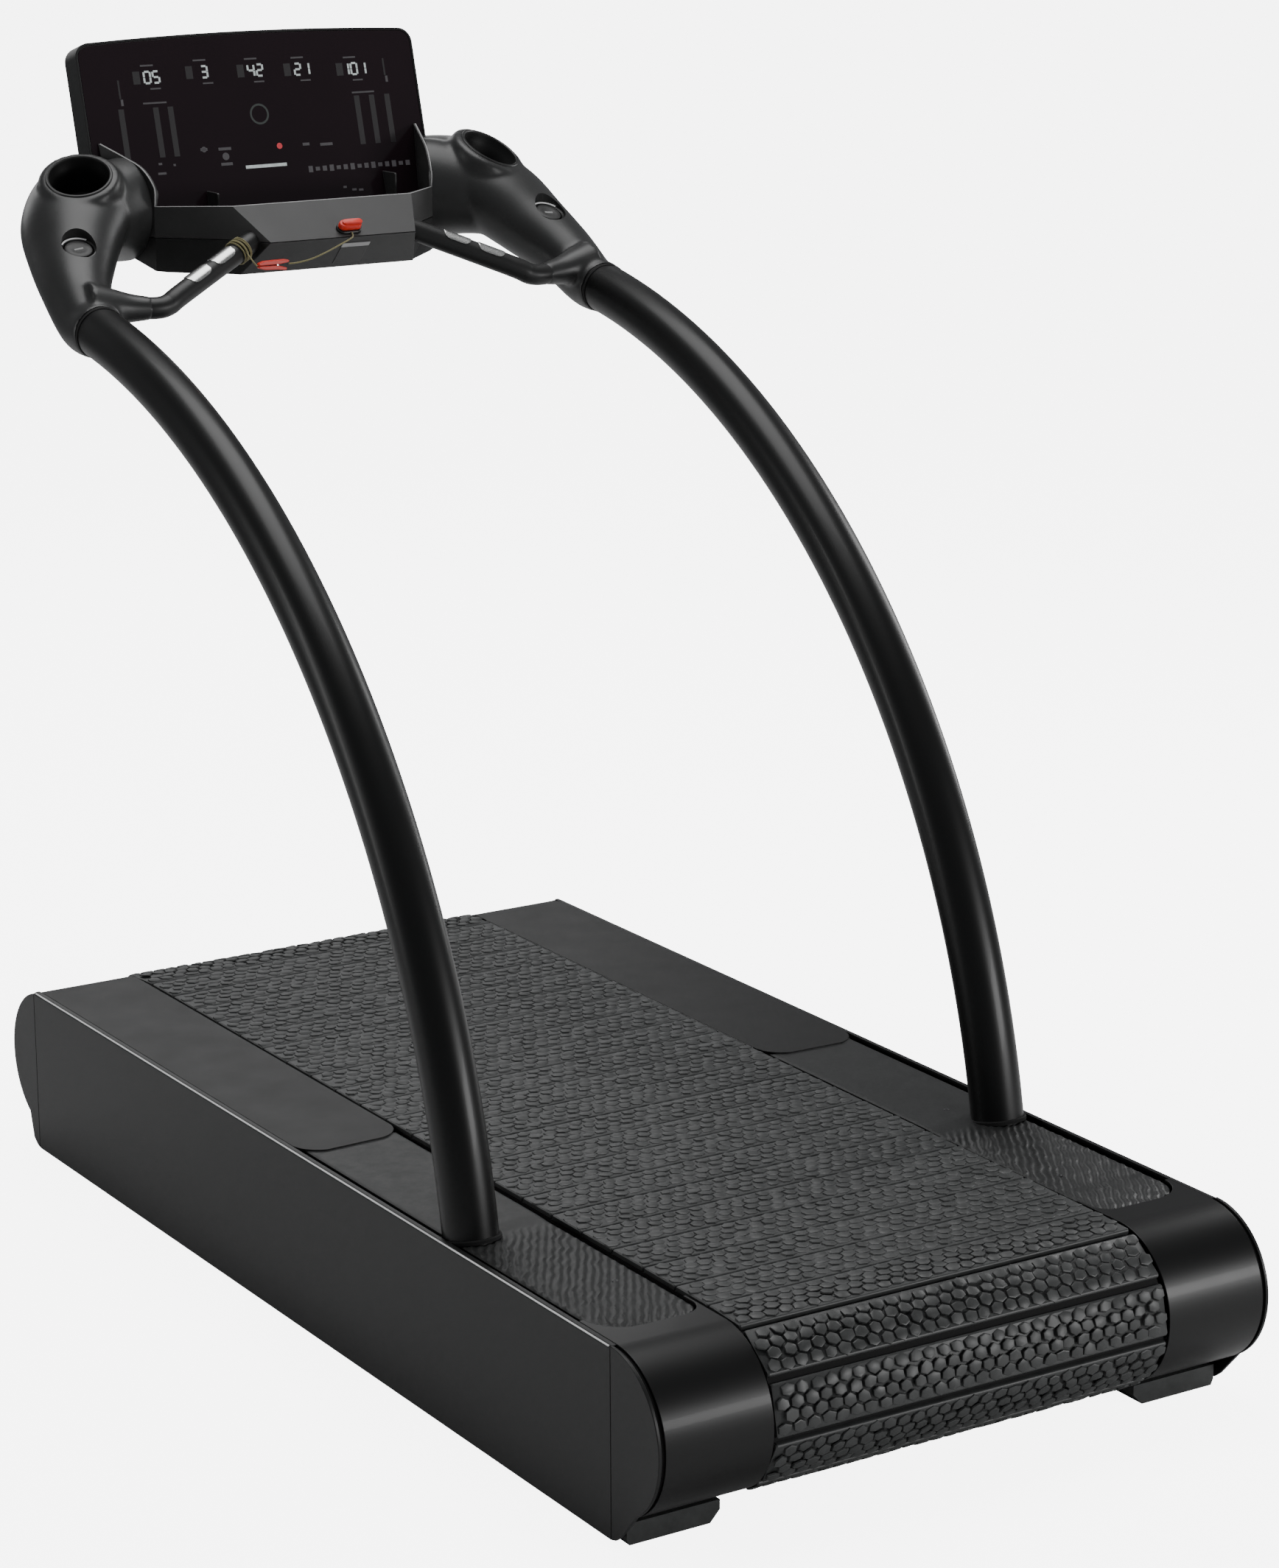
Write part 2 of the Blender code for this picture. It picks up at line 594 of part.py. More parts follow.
def console_housing():
    outline = rounded_rectangle(HOUSING_HALF_WIDTH, -HOUSING_HEIGHT, 0.0, HOUSING_CORNER, CROWN)
    housing = screen_slab("console_housing", outline, -HOUSING_DEPTH, 0.0, MOULDED)
    wall = HOUSING_WALL
    inside = rounded_rectangle(HOUSING_HALF_WIDTH - wall, -HOUSING_HEIGHT + wall, -wall,
                               HOUSING_CORNER - wall, CROWN)
    recess = screen_slab("housing_recess", inside, -HOUSING_DEPTH + wall, 0.02, MOULDED)
    boolean(housing, recess)
    edge = wall + GAP
    lens = rounded_rectangle(HOUSING_HALF_WIDTH - edge, -HOUSING_HEIGHT + edge, -edge,
                             HOUSING_CORNER - edge, CROWN)
    screen_slab("screen_lens", lens, -LENS_T, -GAP, GLASS_BLACK)
    board = rounded_rectangle(HOUSING_HALF_WIDTH - 0.025, -HOUSING_HEIGHT + 0.025, -0.020, 0.004)
    screen_slab("display_board", board, -0.014, -0.012, BOARD_GREEN)


def console_plan(grow):
    """The console base in plan: a narrow nose that widens to the screen, and its mirror image."""
    right = [(x + grow, y - (grow if i == 0 else 0.0)) for i, (x, y) in enumerate(CONSOLE_PLAN)]
    right.append((CONSOLE_PLAN[-1][0] + grow, 1.05))
    return [(-x, y) for x, y in right[::-1]] + right


def face_y(z, out):
    """The y of a plane parallel to the screen face at height z, a distance out from it."""
    y, top = SCREEN_TOP
    return y - (top - z) * math.tan(SCREEN_TILT) - out / math.cos(SCREEN_TILT)


def console_tray():
    """The sloping front band and the walled pocket behind it, open to the screen."""
    bottom = NOSE[1] + GAP
    profile = [(NOSE[0], bottom), (face_y(bottom, 2 * GAP), bottom),
               (face_y(TRAY_REAR_TOP_Z, 2 * GAP), TRAY_REAR_TOP_Z), *TRAY_SIDE, BAND_TOP]
    tray = prism("console_tray", profile, -0.33, 0.33, "x", GREY_MOULDED)
    plan = prism("tray_plan", console_plan(0.0), 1.30, 1.70, "z", GREY_MOULDED)
    inner = [(x - math.copysign(TRAY_WALL, x), y) for x, y in console_plan(0.0)]
    inner = [p for p in inner if p[1] > BAND_TOP[0] - 0.001]
    lift = [(x, y + (0.008 if y < BAND_TOP[0] + 0.001 else 0.0)) for x, y in inner]
    pocket = prism("tray_pocket", lift, NOSE[1] + TRAY_FLOOR_T, 1.70, "z", GREY_MOULDED)
    boolean(tray, plan, "INTERSECT")
    boolean(tray, pocket)


def lower_cover():
    top = NOSE[1] - GAP
    profile = [(NOSE[0] + 0.0005, top), (0.703, 1.384), (0.800, 1.384), (0.868, 1.408), (0.868, top)]
    cover = prism("lower_cover", profile, -0.33, 0.33, "x", DARK_MOULDED)
    plan = prism("lower_plan", console_plan(0.0), 1.30, 1.70, "z", DARK_MOULDED)
    boolean(cover, plan, "INTERSECT")


def arm_casing(side):
    """The moulded arm from the post's end to the console, with its cup well and switch recess."""
    path = [(POST_X, *post_point(SEAM_LENGTH)), (POST_X, *post_point(SEAM_LENGTH + 0.045)),
            (0.424, 0.700, 1.378), (0.402, 0.758, 1.416), (0.374, 0.813, 1.456), (0.333, 0.865, 1.490),
            (0.296, 0.905, 1.508), (0.262, 0.930, 1.520)]
    radii = [(0.0405, 0.0405), (0.0430, 0.0420), (0.0520, 0.0460), (0.0660, 0.0540), (0.0800, 0.0620),
             (0.0820, 0.0600), (0.0660, 0.0480), (0.0340, 0.0300)]
    arm = loft(side_name("arm_casing", side), sections_along(path, radii, 24), MOULDED, side)
    bridge_path = [(0.374, 0.800, 1.445), (0.322, 0.836, 1.466), (0.280, 0.862, 1.474),
                   (0.236, 0.882, 1.476)]
    bridge_radii = [(0.050, 0.048), (0.062, 0.068), (0.066, 0.078), (0.066, 0.080)]
    bridge = loft(side_name("arm_bridge", side), sections_along(bridge_path, bridge_radii, 20), MOULDED,
                  side)
    boolean(arm, bridge, "UNION")
    collar = [(0, -0.060), (0.066, -0.060), (0.0685, -0.035), (0.0655, -0.012), (0.0625, 0.004),
              (0.0600, 0.0085), (0.0560, 0.0105), (0, 0.0105)]
    boolean(arm, turned(side_name("cup_collar", side), collar, CUP_CENTRE, MOULDED, CUP_AXIS, 40, side), "UNION")
    plan = prism(side_name("arm_plan", side), console_plan(GAP), 1.25, 1.75, "z", MOULDED)
    boolean(arm, plan)
    outline = rounded_rectangle(HOUSING_HALF_WIDTH + GAP, -HOUSING_HEIGHT - GAP, GAP, HOUSING_CORNER + GAP,
                                CROWN)
    slab = screen_slab(side_name("arm_slab", side), outline, -HOUSING_DEPTH - GAP, 2 * GAP, MOULDED)
    boolean(arm, slab)
    well = [(0, -CUP_DEPTH - 0.004), (CUP_R + 0.0005, -CUP_DEPTH - 0.004), (CUP_R + 0.0035, 0.06), (0, 0.06)]
    boolean(arm, turned(side_name("cup_well", side), well, CUP_CENTRE, MOULDED, CUP_AXIS, 32, side))
    post_end = post_rings(POST_R + 2 * GAP, SEAM_LENGTH - 0.02, POST_LENGTH + 0.003, 4, 24)
    socket = loft(side_name("post_socket", side), post_end, MOULDED, side)
    boolean(arm, socket)
    recess_profile = [(0, -0.008), (ROCKER_RECESS_R, -0.008), (ROCKER_RECESS_R, 0.04), (0, 0.04)]
    recess = turned(side_name("switch_recess", side), recess_profile, ROCKER_CENTRE, MOULDED, ROCKER_NORMAL,
                    24, side)
    boolean(arm, recess)
    boolean(arm, loft(side_name("grip_socket", side), grip_rings(GRIP_R + 3 * GAP, 24), MOULDED, side))


def cup_liner(side):
    """A thin cup with a rolled rim, standing in the arm's well."""
    profile = [(0, -CUP_DEPTH), (CUP_R - 0.006, -CUP_DEPTH), (CUP_R, -CUP_DEPTH + 0.006),
               (CUP_R + 0.002, 0.012), (CUP_R + 0.001, 0.014), (CUP_R - 0.001, 0.012),
               (CUP_R - 0.003, -CUP_DEPTH + 0.008), (CUP_R - 0.008, -CUP_DEPTH + 0.003),
               (0, -CUP_DEPTH + 0.003)]
    turned(side_name("cup_liner", side), profile, CUP_CENTRE, RUBBER, CUP_AXIS, 32, side)


def rocker(side):
    """The two-way switch paddle in the arm; it tips about the level line across its middle."""
    profile = [(0, -0.0065), (ROCKER_R - 0.0005, -0.0065), (ROCKER_R, 0.0015), (ROCKER_R - 0.003, 0.0040),
               (0, 0.0045)]
    turned(side_name("rocker", side), profile, ROCKER_CENTRE, GREY_MOULDED, ROCKER_NORMAL, 24, side)


def grip_rings(radius, sides):
    path = smooth_path(GRIP_PATH, 3)
    return sections_along(path, [(radius, radius)] * len(path), sides)


def grip_bar(side):
    bar = loft(side_name("grip_bar", side), grip_rings(GRIP_R, 16), DARK_MOULDED, side)
    plan = prism(side_name("grip_plan", side), console_plan(GAP), 1.25, 1.75, "z", MOULDED)
    boolean(bar, plan)


def smooth_path(path, steps):
    """Points on a Catmull-Rom curve through the given ones."""
    points = [Vector(p) for p in path]
    ends = [2 * points[0] - points[1], *points, 2 * points[-1] - points[-2]]
    made = []
    for i in range(len(points) - 1):
        a, b, c, d = ends[i:i + 4]
        for k in range(steps):
            t = k / steps
            made.append(((2 * b) + (c - a) * t + (2 * a - 5 * b + 4 * c - d) * t * t
                         + (3 * b - a - 3 * c + d) * t ** 3) / 2)
    return made + [points[-1]]


def contact_pad(side):
    """The pulse contact: half a steel sleeve on the straight part of the grip bar."""
    start, end = Vector(GRIP_PATH[4]), Vector(GRIP_PATH[5])
    ahead = (end - start).normalized()
    level = ahead.cross(Vector((0, 0, 1))).normalized()
    upward = level.cross(ahead)
    rings = []
    for place in (0.10, 0.90):
        centre = start.lerp(end, place)
        rim = [(GRIP_R + 0.0014, math.radians(20 + 10 * k)) for k in range(15)]
        rim += [(GRIP_R + GAP, angle) for _, angle in rim[::-1]]
        rings.append([centre + r * (level * math.cos(a) + upward * math.sin(a)) for r, a in rim])
    loft(side_name("contact_pad", side), rings, STEEL, side)


BAND_LOW = Vector((0, NOSE[0], NOSE[1] + GAP))
BAND_RISE = (Vector((0, *BAND_TOP)) - BAND_LOW).normalized()
BAND_OUT = Vector((1, 0, 0)).cross(BAND_RISE)
KEY_PLACE = BAND_LOW + Vector((0.015, 0, 0)) + BAND_RISE * 0.016
CLIP_PLACE = Vector((-0.131, 0.632, 1.406))
CLIP_HINGE = 0.006  # of the jaw, to the right of the clip's middle
CLIP_HALF = 0.0045
CLIP_T = 0.006
JAW_OPENING = math.radians(14)
LANYARD_R = 0.00125
LANYARD_PATH = ((0.0150, 0.6492, 1.4429), (0.0135, 0.6440, 1.4378), (0.0060, 0.6400, 1.4345),
                (-0.0120, 0.6355, 1.4285), (-0.0380, 0.6310, 1.4195), (-0.0660, 0.6285, 1.4110),
                (-0.0900, 0.6290, 1.4070), (-0.1045, 0.6305, 1.4063))
WRAP_R = 0.0032


def band_point(x, up, out):
    """A point on the sloping band: x across, up the slope from the key, out from the surface."""
    return KEY_PLACE + Vector((x, 0, 0)) + BAND_RISE * up + BAND_OUT * out


def band_prism(name, outline, low, high, recipe, origin=(0, 0, 0)):
    points = [band_point(x, up, out) for out in (low, high) for x, up in outline]
    return solid(name, points, prism_faces(len(outline)), recipe, origin)


def stadium(half_length, radius, steps=6):
    return arc((half_length, 0), radius, -90, 90, steps) + arc((-half_length, 0), radius, 90, 270, steps)


def safety_key():
    """The pull-off key on its socket, and the lanyard that ties it to the runner's clip."""
    band_prism("key_socket", stadium(0.010, 0.011), GAP + 0.0003, 0.004, DARK_MOULDED)
    key = band_prism("safety_key", stadium(0.011, 0.008), 0.004 + GAP, 0.014, RED, KEY_PLACE)
    add_bevel(key, 0.0015)


def lanyard():
    curve = bpy.data.curves.new("lanyard", "CURVE")
    curve.dimensions = "3D"
    curve.bevel_depth = LANYARD_R
    curve.bevel_resolution = 2
    curve.use_fill_caps = True
    spline = curve.splines.new("POLY")
    points = smooth_path(LANYARD_PATH, 4)
    spline.points.add(len(points) - 1)
    for spot, place in zip(spline.points, points):
        spot.co = (*place, 1.0)
    obj = bpy.data.objects.new("lanyard", curve)
    bpy.context.scene.collection.objects.link(obj)
    curve.materials.append(material(CORD_OLIVE))


def lanyard_wrap():
    """The cord's turns round the left grip bar, as one ring of their outer shape."""
    start, end = Vector(GRIP_PATH[4]), Vector(GRIP_PATH[5])
    ahead = (end - start).normalized()
    centre = end - ahead * 0.002
    ring = [(GRIP_R + 2 * GAP, -0.006), (GRIP_R + WRAP_R, -0.006), (GRIP_R + WRAP_R, 0.006),
            (GRIP_R + 2 * GAP, 0.006)]
    turned("lanyard_wrap", ring, centre, CORD_OLIVE, ahead, 20, -1)


def safety_clip():
    """The clothing clip at the lanyard's end: a body and a sprung jaw."""
    x, y, z = CLIP_PLACE
    mouth, hinge, tail = x - 0.025, x + CLIP_HINGE, x + 0.022
    box("safety_clip", (mouth, y - CLIP_HALF, z + GAP), (x + 0.026, y + CLIP_HALF, z + 0.007), RED)
    drop = (tail - hinge) * math.tan(JAW_OPENING + math.radians(2))
    outline = [(mouth, z - GAP), (mouth, z - CLIP_T), (hinge, z - CLIP_T), (tail, z - CLIP_T - drop / 2),
               (tail, z - GAP - drop), (hinge, z - GAP)]
    prism("clip_jaw", outline, y - CLIP_HALF, y + CLIP_HALF, "y", RED, origin=(hinge, y, z))


def main():
    clear_scene()
    for side in (-1, 1):
        side_panel(side)
        end_plate("rear", side)
        end_plate("front", side)
        rear_cover(side)
        deck_cover(side)
        foot_rail(side)
        frame_rail(side)
        bearing_rail(side)
        shaft_bearing("rear", REAR_DRUM_Y, side)
        shaft_bearing("front", FRONT_DRUM_Y, side)
        elevation_rack(side)
        rear_foot(side)
        post(side)
        post_bracket(side)
        arm_casing(side)
        cup_liner(side)
        rocker(side)
        grip_bar(side)
        contact_pad(side)
    cross_member("rear", -0.450)
    cross_member("front", 0.560)
    slat_belt()
    drum("rear", REAR_DRUM_Y)
    drum("front", FRONT_DRUM_Y)
    drive_parts()
    power_inlet()
    elevation_shaft()
    console_housing()
    console_tray()
    lower_cover()
    safety_key()
    lanyard()
    lanyard_wrap()
    safety_clip()


main()
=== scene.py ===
"""Looks of the slat-belt treadmill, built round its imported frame. Metres, +Z up, +Y towards the console."""

import math
import random

import bmesh
import bpy
from mathutils import Matrix, Vector, noise


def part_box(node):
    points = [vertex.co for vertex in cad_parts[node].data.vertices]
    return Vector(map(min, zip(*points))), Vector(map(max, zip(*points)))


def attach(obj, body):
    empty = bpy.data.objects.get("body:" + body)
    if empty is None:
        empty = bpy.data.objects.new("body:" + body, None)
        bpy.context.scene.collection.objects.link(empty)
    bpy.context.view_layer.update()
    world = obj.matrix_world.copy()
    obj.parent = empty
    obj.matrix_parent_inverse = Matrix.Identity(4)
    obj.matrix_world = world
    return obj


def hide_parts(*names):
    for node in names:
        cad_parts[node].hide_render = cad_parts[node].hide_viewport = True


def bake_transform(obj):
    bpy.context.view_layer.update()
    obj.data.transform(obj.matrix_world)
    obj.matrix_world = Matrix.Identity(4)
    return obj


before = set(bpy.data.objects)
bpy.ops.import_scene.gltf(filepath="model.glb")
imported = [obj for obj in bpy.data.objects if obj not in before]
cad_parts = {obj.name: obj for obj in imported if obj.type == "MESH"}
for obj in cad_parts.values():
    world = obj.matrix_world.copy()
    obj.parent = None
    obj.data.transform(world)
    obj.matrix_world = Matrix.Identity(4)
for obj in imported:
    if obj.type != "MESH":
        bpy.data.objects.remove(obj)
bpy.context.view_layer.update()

UP = Vector((0, 0, 1))

# Places read from the frame
PANEL_LOW, PANEL_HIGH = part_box("side_panel_right")
HALF_WIDTH, DECK_Z = PANEL_HIGH.x, PANEL_HIGH.z
REAR_SEAM_Y, FRONT_SEAM_Y = PANEL_LOW.y, PANEL_HIGH.y
PANEL_BOTTOM_Z = PANEL_LOW.z
REAR_DRUM_BOX, FRONT_DRUM_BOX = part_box("rear_drum"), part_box("front_drum")
REAR_DRUM_Y = (REAR_DRUM_BOX[0].y + REAR_DRUM_BOX[1].y) / 2
FRONT_DRUM_Y = (FRONT_DRUM_BOX[0].y + FRONT_DRUM_BOX[1].y) / 2
DRUM_Z = (FRONT_DRUM_BOX[0].z + FRONT_DRUM_BOX[1].z) / 2
COVER_LOW, COVER_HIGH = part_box("rear_cover_right")
COVER_INNER_X, COVER_OUTER_X = COVER_LOW.x, COVER_HIGH.x
COVER_R = DECK_Z - DRUM_Z
RAIL_LOW, RAIL_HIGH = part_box("foot_rail_right")
BELT_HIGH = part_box("slat_belt")[1]
BELT_HALF_WIDTH = BELT_HIGH.x
BELT_R = BELT_HIGH.z - DRUM_Z

# Shapes that the frame only holds coarsely
PLATE = 0.005  # sheet thickness of the side panels and end plates
COVER_T = 0.004
CLEAR = 0.0005  # between touching pieces
COVER_NOSE_Y = -0.066  # where the deck cover ends against the foot rail
COVER_NOSE_CORNER = 0.045
RAIL_GAP = 0.0022
RAIL_OUTER_CORNER, RAIL_INNER_CORNER = 0.055, 0.030
SLAT_COUNT = 53
SLAT_GAP = 0.0024
SLAT_PHASE = 0.098  # how far round the belt stands, in slats
NEUTRAL_DEPTH = 0.009  # below the belt's face, where bending doesn't stretch it
SLAT_T = 0.010
PEBBLE_HEIGHT = 0.0021
PEBBLE_ROWS, PEBBLE_COLUMNS, PEBBLE_SIDES = 4, 28, 6
RIDGE_HEIGHT, RIDGE_PERIOD = 0.0023, 0.0105
RIDGE_ROOM = 0.0013  # how far the ridged part of a foot rail is sunk
RIDGE_END_Y = -0.465

POST_X = 0.435
POST_R = 0.0381
POST_FOOT = (-0.479, 0.0424)
POST_LEAN = math.radians(0.38)
POST_BEND = 0.748  # radians per metre
POST_BEND_GROWTH = 0.0135
POST_LENGTH = 1.841
SEAM_LENGTH = 1.823  # along the post, where the arm casing begins

SCREEN_TILT = math.radians(15.3)
SCREEN_TOP = (0.960, 1.722)  # y and z of the face's top edge
HOUSING_HALF_WIDTH = 0.295
HOUSING_HEIGHT = 0.290
HOUSING_DEPTH = 0.0427
HOUSING_WALL = 0.004
HOUSING_CORNER = 0.024
CROWN = 0.007  # bulge of the housing's top edge
MARK_LOW, MARK_HIGH = -CLEAR - 0.0001, -CLEAR + 0.00022  # a mark's faces, off the screen's face

NOSE = (0.648, 1.437)  # the console's edge nearest the runner
BAND_TOP = (0.713, 1.4875)
BELLY_BOTTOM = (0.703, 1.3845)
CONSOLE_PLAN = ((0.125, 0.648), (0.155, 0.713), (0.243, 0.803), (0.282, 0.925))
TRAY_SIDE = ((0.868, 1.556), (0.828, 1.540), (0.803, 1.512), (0.803, 1.484))
TRAY_WALL = 0.005
MAT_FAR_Y = 0.845

CUP_CENTRE = Vector((0.356, 0.823, 1.527))
CUP_AXIS = Vector((0.27, -0.45, 0.851)).normalized()
CUP_R = 0.047
CUP_DEPTH = 0.062
ROCKER_CENTRE = Vector((0.408, 0.722, 1.4385))
ROCKER_NORMAL = Vector((0.10, -0.46, 0.88)).normalized()
GRIP_R = 0.0165
GRIP_PATH = ((0.418, 0.633, 1.364), (0.372, 0.628, 1.361), (0.335, 0.621, 1.358), (0.312, 0.622, 1.361),
             (0.285, 0.630, 1.374), (0.160, 0.677, 1.427), (0.122, 0.692, 1.443))

BAND_LOW = Vector((0, NOSE[0], NOSE[1] + CLEAR))
BAND_RISE = (Vector((0, *BAND_TOP)) - BAND_LOW).normalized()
BAND_OUT = Vector((1, 0, 0)).cross(BAND_RISE)
KEY_PLACE = BAND_LOW + Vector((0.015, 0, 0)) + BAND_RISE * 0.016
CLIP_PLACE = Vector((-0.131, 0.632, 1.406))
CORD_R = 0.00125
LANYARD_PATH = ((0.0150, 0.6492, 1.4429), (0.0135, 0.6440, 1.4378), (0.0060, 0.6400, 1.4345),
                (-0.0120, 0.6355, 1.4285), (-0.0380, 0.6310, 1.4195), (-0.0660, 0.6285, 1.4110),
                (-0.0900, 0.6290, 1.4070), (-0.1045, 0.6305, 1.4063))

# The camera, fitted to the photograph's viewing angle
CAMERA_AZIMUTH, CAMERA_ELEVATION, CAMERA_ROLL = (math.radians(a) for a in (-32.18, 14.70, -0.25))
CAMERA_TARGET = Vector((0.143, 0.035, 0.688))
CAMERA_DISTANCE = 6.037
CAMERA_LENS = 94.37


# ---------------------------------------------------------------- materials

def node_tree(name):
    """A new material, its node tree and its shader."""
    made = bpy.data.materials.new(name)
    made.use_nodes = True
    return made, made.node_tree, made.node_tree.nodes["Principled BSDF"]


def texture(tree, kind, scale, stretch=(1, 1, 1), **inputs):
    """A texture node in object space, with its coordinates stretched."""
    place = tree.nodes.new("ShaderNodeTexCoord")
    mapping = tree.nodes.new("ShaderNodeMapping")
    mapping.inputs["Scale"].default_value = stretch
    made = tree.nodes.new(kind)
    made.inputs["Scale"].default_value = scale
    for key, value in inputs.items():
        made.inputs[key.replace("_", " ")].default_value = value
    tree.links.new(place.outputs["Object"], mapping.inputs["Vector"])
    tree.links.new(mapping.outputs["Vector"], made.inputs["Vector"])
    return made


def scaled(colour, share):
    return tuple(c * share for c in colour)


def blend_colours(tree, shader, factor, dark, light, socket="Base Color"):
    mix = tree.nodes.new("ShaderNodeMix")
    mix.data_type = "RGBA"
    mix.inputs["A"].default_value = (*dark, 1)
    mix.inputs["B"].default_value = (*light, 1)
    tree.links.new(factor, mix.inputs["Factor"])
    tree.links.new(mix.outputs["Result"], shader.inputs[socket])


def vary_roughness(tree, shader, factor, low, high):
    spread = tree.nodes.new("ShaderNodeMapRange")
    spread.inputs["To Min"].default_value = low
    spread.inputs["To Max"].default_value = high
    tree.links.new(factor, spread.inputs["Value"])
    tree.links.new(spread.outputs["Result"], shader.inputs["Roughness"])


def raise_bumps(tree, shader, factor, height, strength=1.0):
    bump = tree.nodes.new("ShaderNodeBump")
    bump.inputs["Distance"].default_value = height
    bump.inputs["Strength"].default_value = strength
    tree.links.new(factor, bump.inputs["Height"])
    tree.links.new(bump.outputs["Normal"], shader.inputs["Normal"])


def surface(name, colour, roughness, metallic=0.0, mottle=9.0, spread=0.12, grain=900.0, height=0.00006,
            coat=0.0, stretch=(1, 1, 1), rough_spread=0.05, shine=0.32):
    """A moulded, painted or metal finish: mottled colour, uneven gloss and a fine surface grain."""
    made, tree, shader = node_tree(name)
    shader.inputs["Metallic"].default_value = metallic
    shader.inputs["Coat Weight"].default_value = coat
    shader.inputs["Coat Roughness"].default_value = 0.06
    shader.inputs["Specular IOR Level"].default_value = shine
    cloud = texture(tree, "ShaderNodeTexNoise", mottle, stretch, Detail=4.0)
    blend_colours(tree, shader, cloud.outputs["Fac"], scaled(colour, 1 - spread), scaled(colour, 1 + spread))
    fine = texture(tree, "ShaderNodeTexNoise", grain, stretch, Detail=3.0)
    vary_roughness(tree, shader, fine.outputs["Fac"], roughness - rough_spread, roughness + rough_spread)
    raise_bumps(tree, shader, fine.outputs["Fac"], height, 0.6)
    return made


def leather_grain(name, colour, roughness, cell=1300.0, height=0.00009, shine=0.34):
    """Moulded plastic with a spark-eroded grain: small rounded cells under a soft mottle."""
    made, tree, shader = node_tree(name)
    shader.inputs["Specular IOR Level"].default_value = shine
    cloud = texture(tree, "ShaderNodeTexNoise", 14.0, Detail=5.0)
    blend_colours(tree, shader, cloud.outputs["Fac"], scaled(colour, 0.86), scaled(colour, 1.14))
    cells = texture(tree, "ShaderNodeTexVoronoi", cell)
    raise_bumps(tree, shader, cells.outputs["Distance"], height, 0.45)
    vary_roughness(tree, shader, cloud.outputs["Fac"], roughness - 0.06, roughness + 0.06)
    return made


def cord_braid(name, colour):
    """Twisted strands that run slantwise round a cord."""
    made, tree, shader = node_tree(name)
    waves = texture(tree, "ShaderNodeTexWave", 900.0, (1, 0.8, 1.3), Distortion=1.5)
    waves.wave_type = "BANDS"
    waves.bands_direction = "DIAGONAL"
    blend_colours(tree, shader, waves.outputs["Fac"], scaled(colour, 0.45), scaled(colour, 1.5))
    raise_bumps(tree, shader, waves.outputs["Fac"], 0.0003, 0.8)
    shader.inputs["Roughness"].default_value = 0.85
    shader.inputs["Sheen Weight"].default_value = 0.3
    return made


def circuit_board(name):
    made, tree, shader = node_tree(name)
    tracks = texture(tree, "ShaderNodeTexBrick", 60.0, (1, 0.25, 1))
    blend_colours(tree, shader, tracks.outputs["Fac"], (0.015, 0.10, 0.04), (0.05, 0.22, 0.09))
    raise_bumps(tree, shader, tracks.outputs["Fac"], 0.0001, 0.5)
    shader.inputs["Roughness"].default_value = 0.4
    return made


def glow(name, colour, strength):
    """A lit display segment: its light is a little uneven, as through a printed mask."""
    made, tree, shader = node_tree(name)
    cloud = texture(tree, "ShaderNodeTexNoise", 260.0, Detail=2.0)
    blend_colours(tree, shader, cloud.outputs["Fac"], scaled(colour, 0.55), colour, "Emission Color")
    shader.inputs["Base Color"].default_value = (0.006, 0.005, 0.006, 1)
    shader.inputs["Emission Strength"].default_value = strength
    return made


def rubber_tread(name, colour, shine=0.5):
    """Worn tread rubber: the mottle of dust in the moulding and a dry, fine grain."""
    made, tree, shader = node_tree(name)
    shader.inputs["Specular IOR Level"].default_value = shine
    cloud = texture(tree, "ShaderNodeTexNoise", 48.0, Detail=7.0, Roughness=0.7)
    blend_colours(tree, shader, cloud.outputs["Fac"], scaled(colour, 0.45), scaled(colour, 1.75))
    fine = texture(tree, "ShaderNodeTexNoise", 1500.0, Detail=2.0)
    raise_bumps(tree, shader, fine.outputs["Fac"], 0.00012, 0.7)
    vary_roughness(tree, shader, cloud.outputs["Fac"], 0.30, 0.62)
    return made


PAINTS = {
    "satin_black_paint": ((0.0075, 0.0078, 0.0078), 0.42, {"grain": 700.0, "height": 0.00003}),
    "gloss_black_paint": ((0.0035, 0.0035, 0.0035), 0.37, {"coat": 0.03, "grain": 30.0, "height": 0.000001,
                                                           "rough_spread": 0.015, "shine": 0.30}),
    # near-white: the beads and lips made in it stand in for painted highlights
    "edge_bright": ((0.86, 0.86, 0.86), 0.30, {"grain": 400.0, "height": 0.00002}),
    # near-black: joints and seam backings, and also pieces that stand in for painted shade (the belt's inner
    # band, the ring round each post's foot)
    "dark_rubber": ((0.004, 0.004, 0.004), 0.8, {"grain": 600.0}),
    "steel": ((0.56, 0.56, 0.55), 0.26, {"metallic": 1.0, "grain": 500.0, "height": 0.00003,
                                         "stretch": (0.15, 1, 1), "spread": 0.06}),
    "frame_steel": ((0.055, 0.055, 0.057), 0.46, {"grain": 420.0, "height": 0.00008}),
    "cast_aluminium": ((0.58, 0.58, 0.57), 0.42, {"metallic": 1.0, "grain": 350.0, "height": 0.00015}),
    "black_screen": ((0.0125, 0.0075, 0.0098), 0.12, {"grain": 60.0, "height": 0.000002,
                                                      "rough_spread": 0.02}),
    "red_plastic": ((0.62, 0.030, 0.018), 0.34, {"grain": 600.0, "height": 0.00004, "spread": 0.10}),
}
PLASTICS = {
    "moulded_charcoal": ((0.0088, 0.0090, 0.0090), 0.46, {"shine": 0.25}),
    "arm_plastic": ((0.0175, 0.0178, 0.0178), 0.39, {"shine": 0.42}),
    "moulded_black": ((0.009, 0.009, 0.009), 0.42, {}),
    "moulded_grey": ((0.027, 0.027, 0.027), 0.50, {}),
    # pale grey: the deck cover edge bead, tray edge tube and rocker bar in it are painted highlights; also
    # the pale band on the blank plate
    "edge_grey": ((0.30, 0.30, 0.30), 0.36, {}),
}
FINISHES = {}
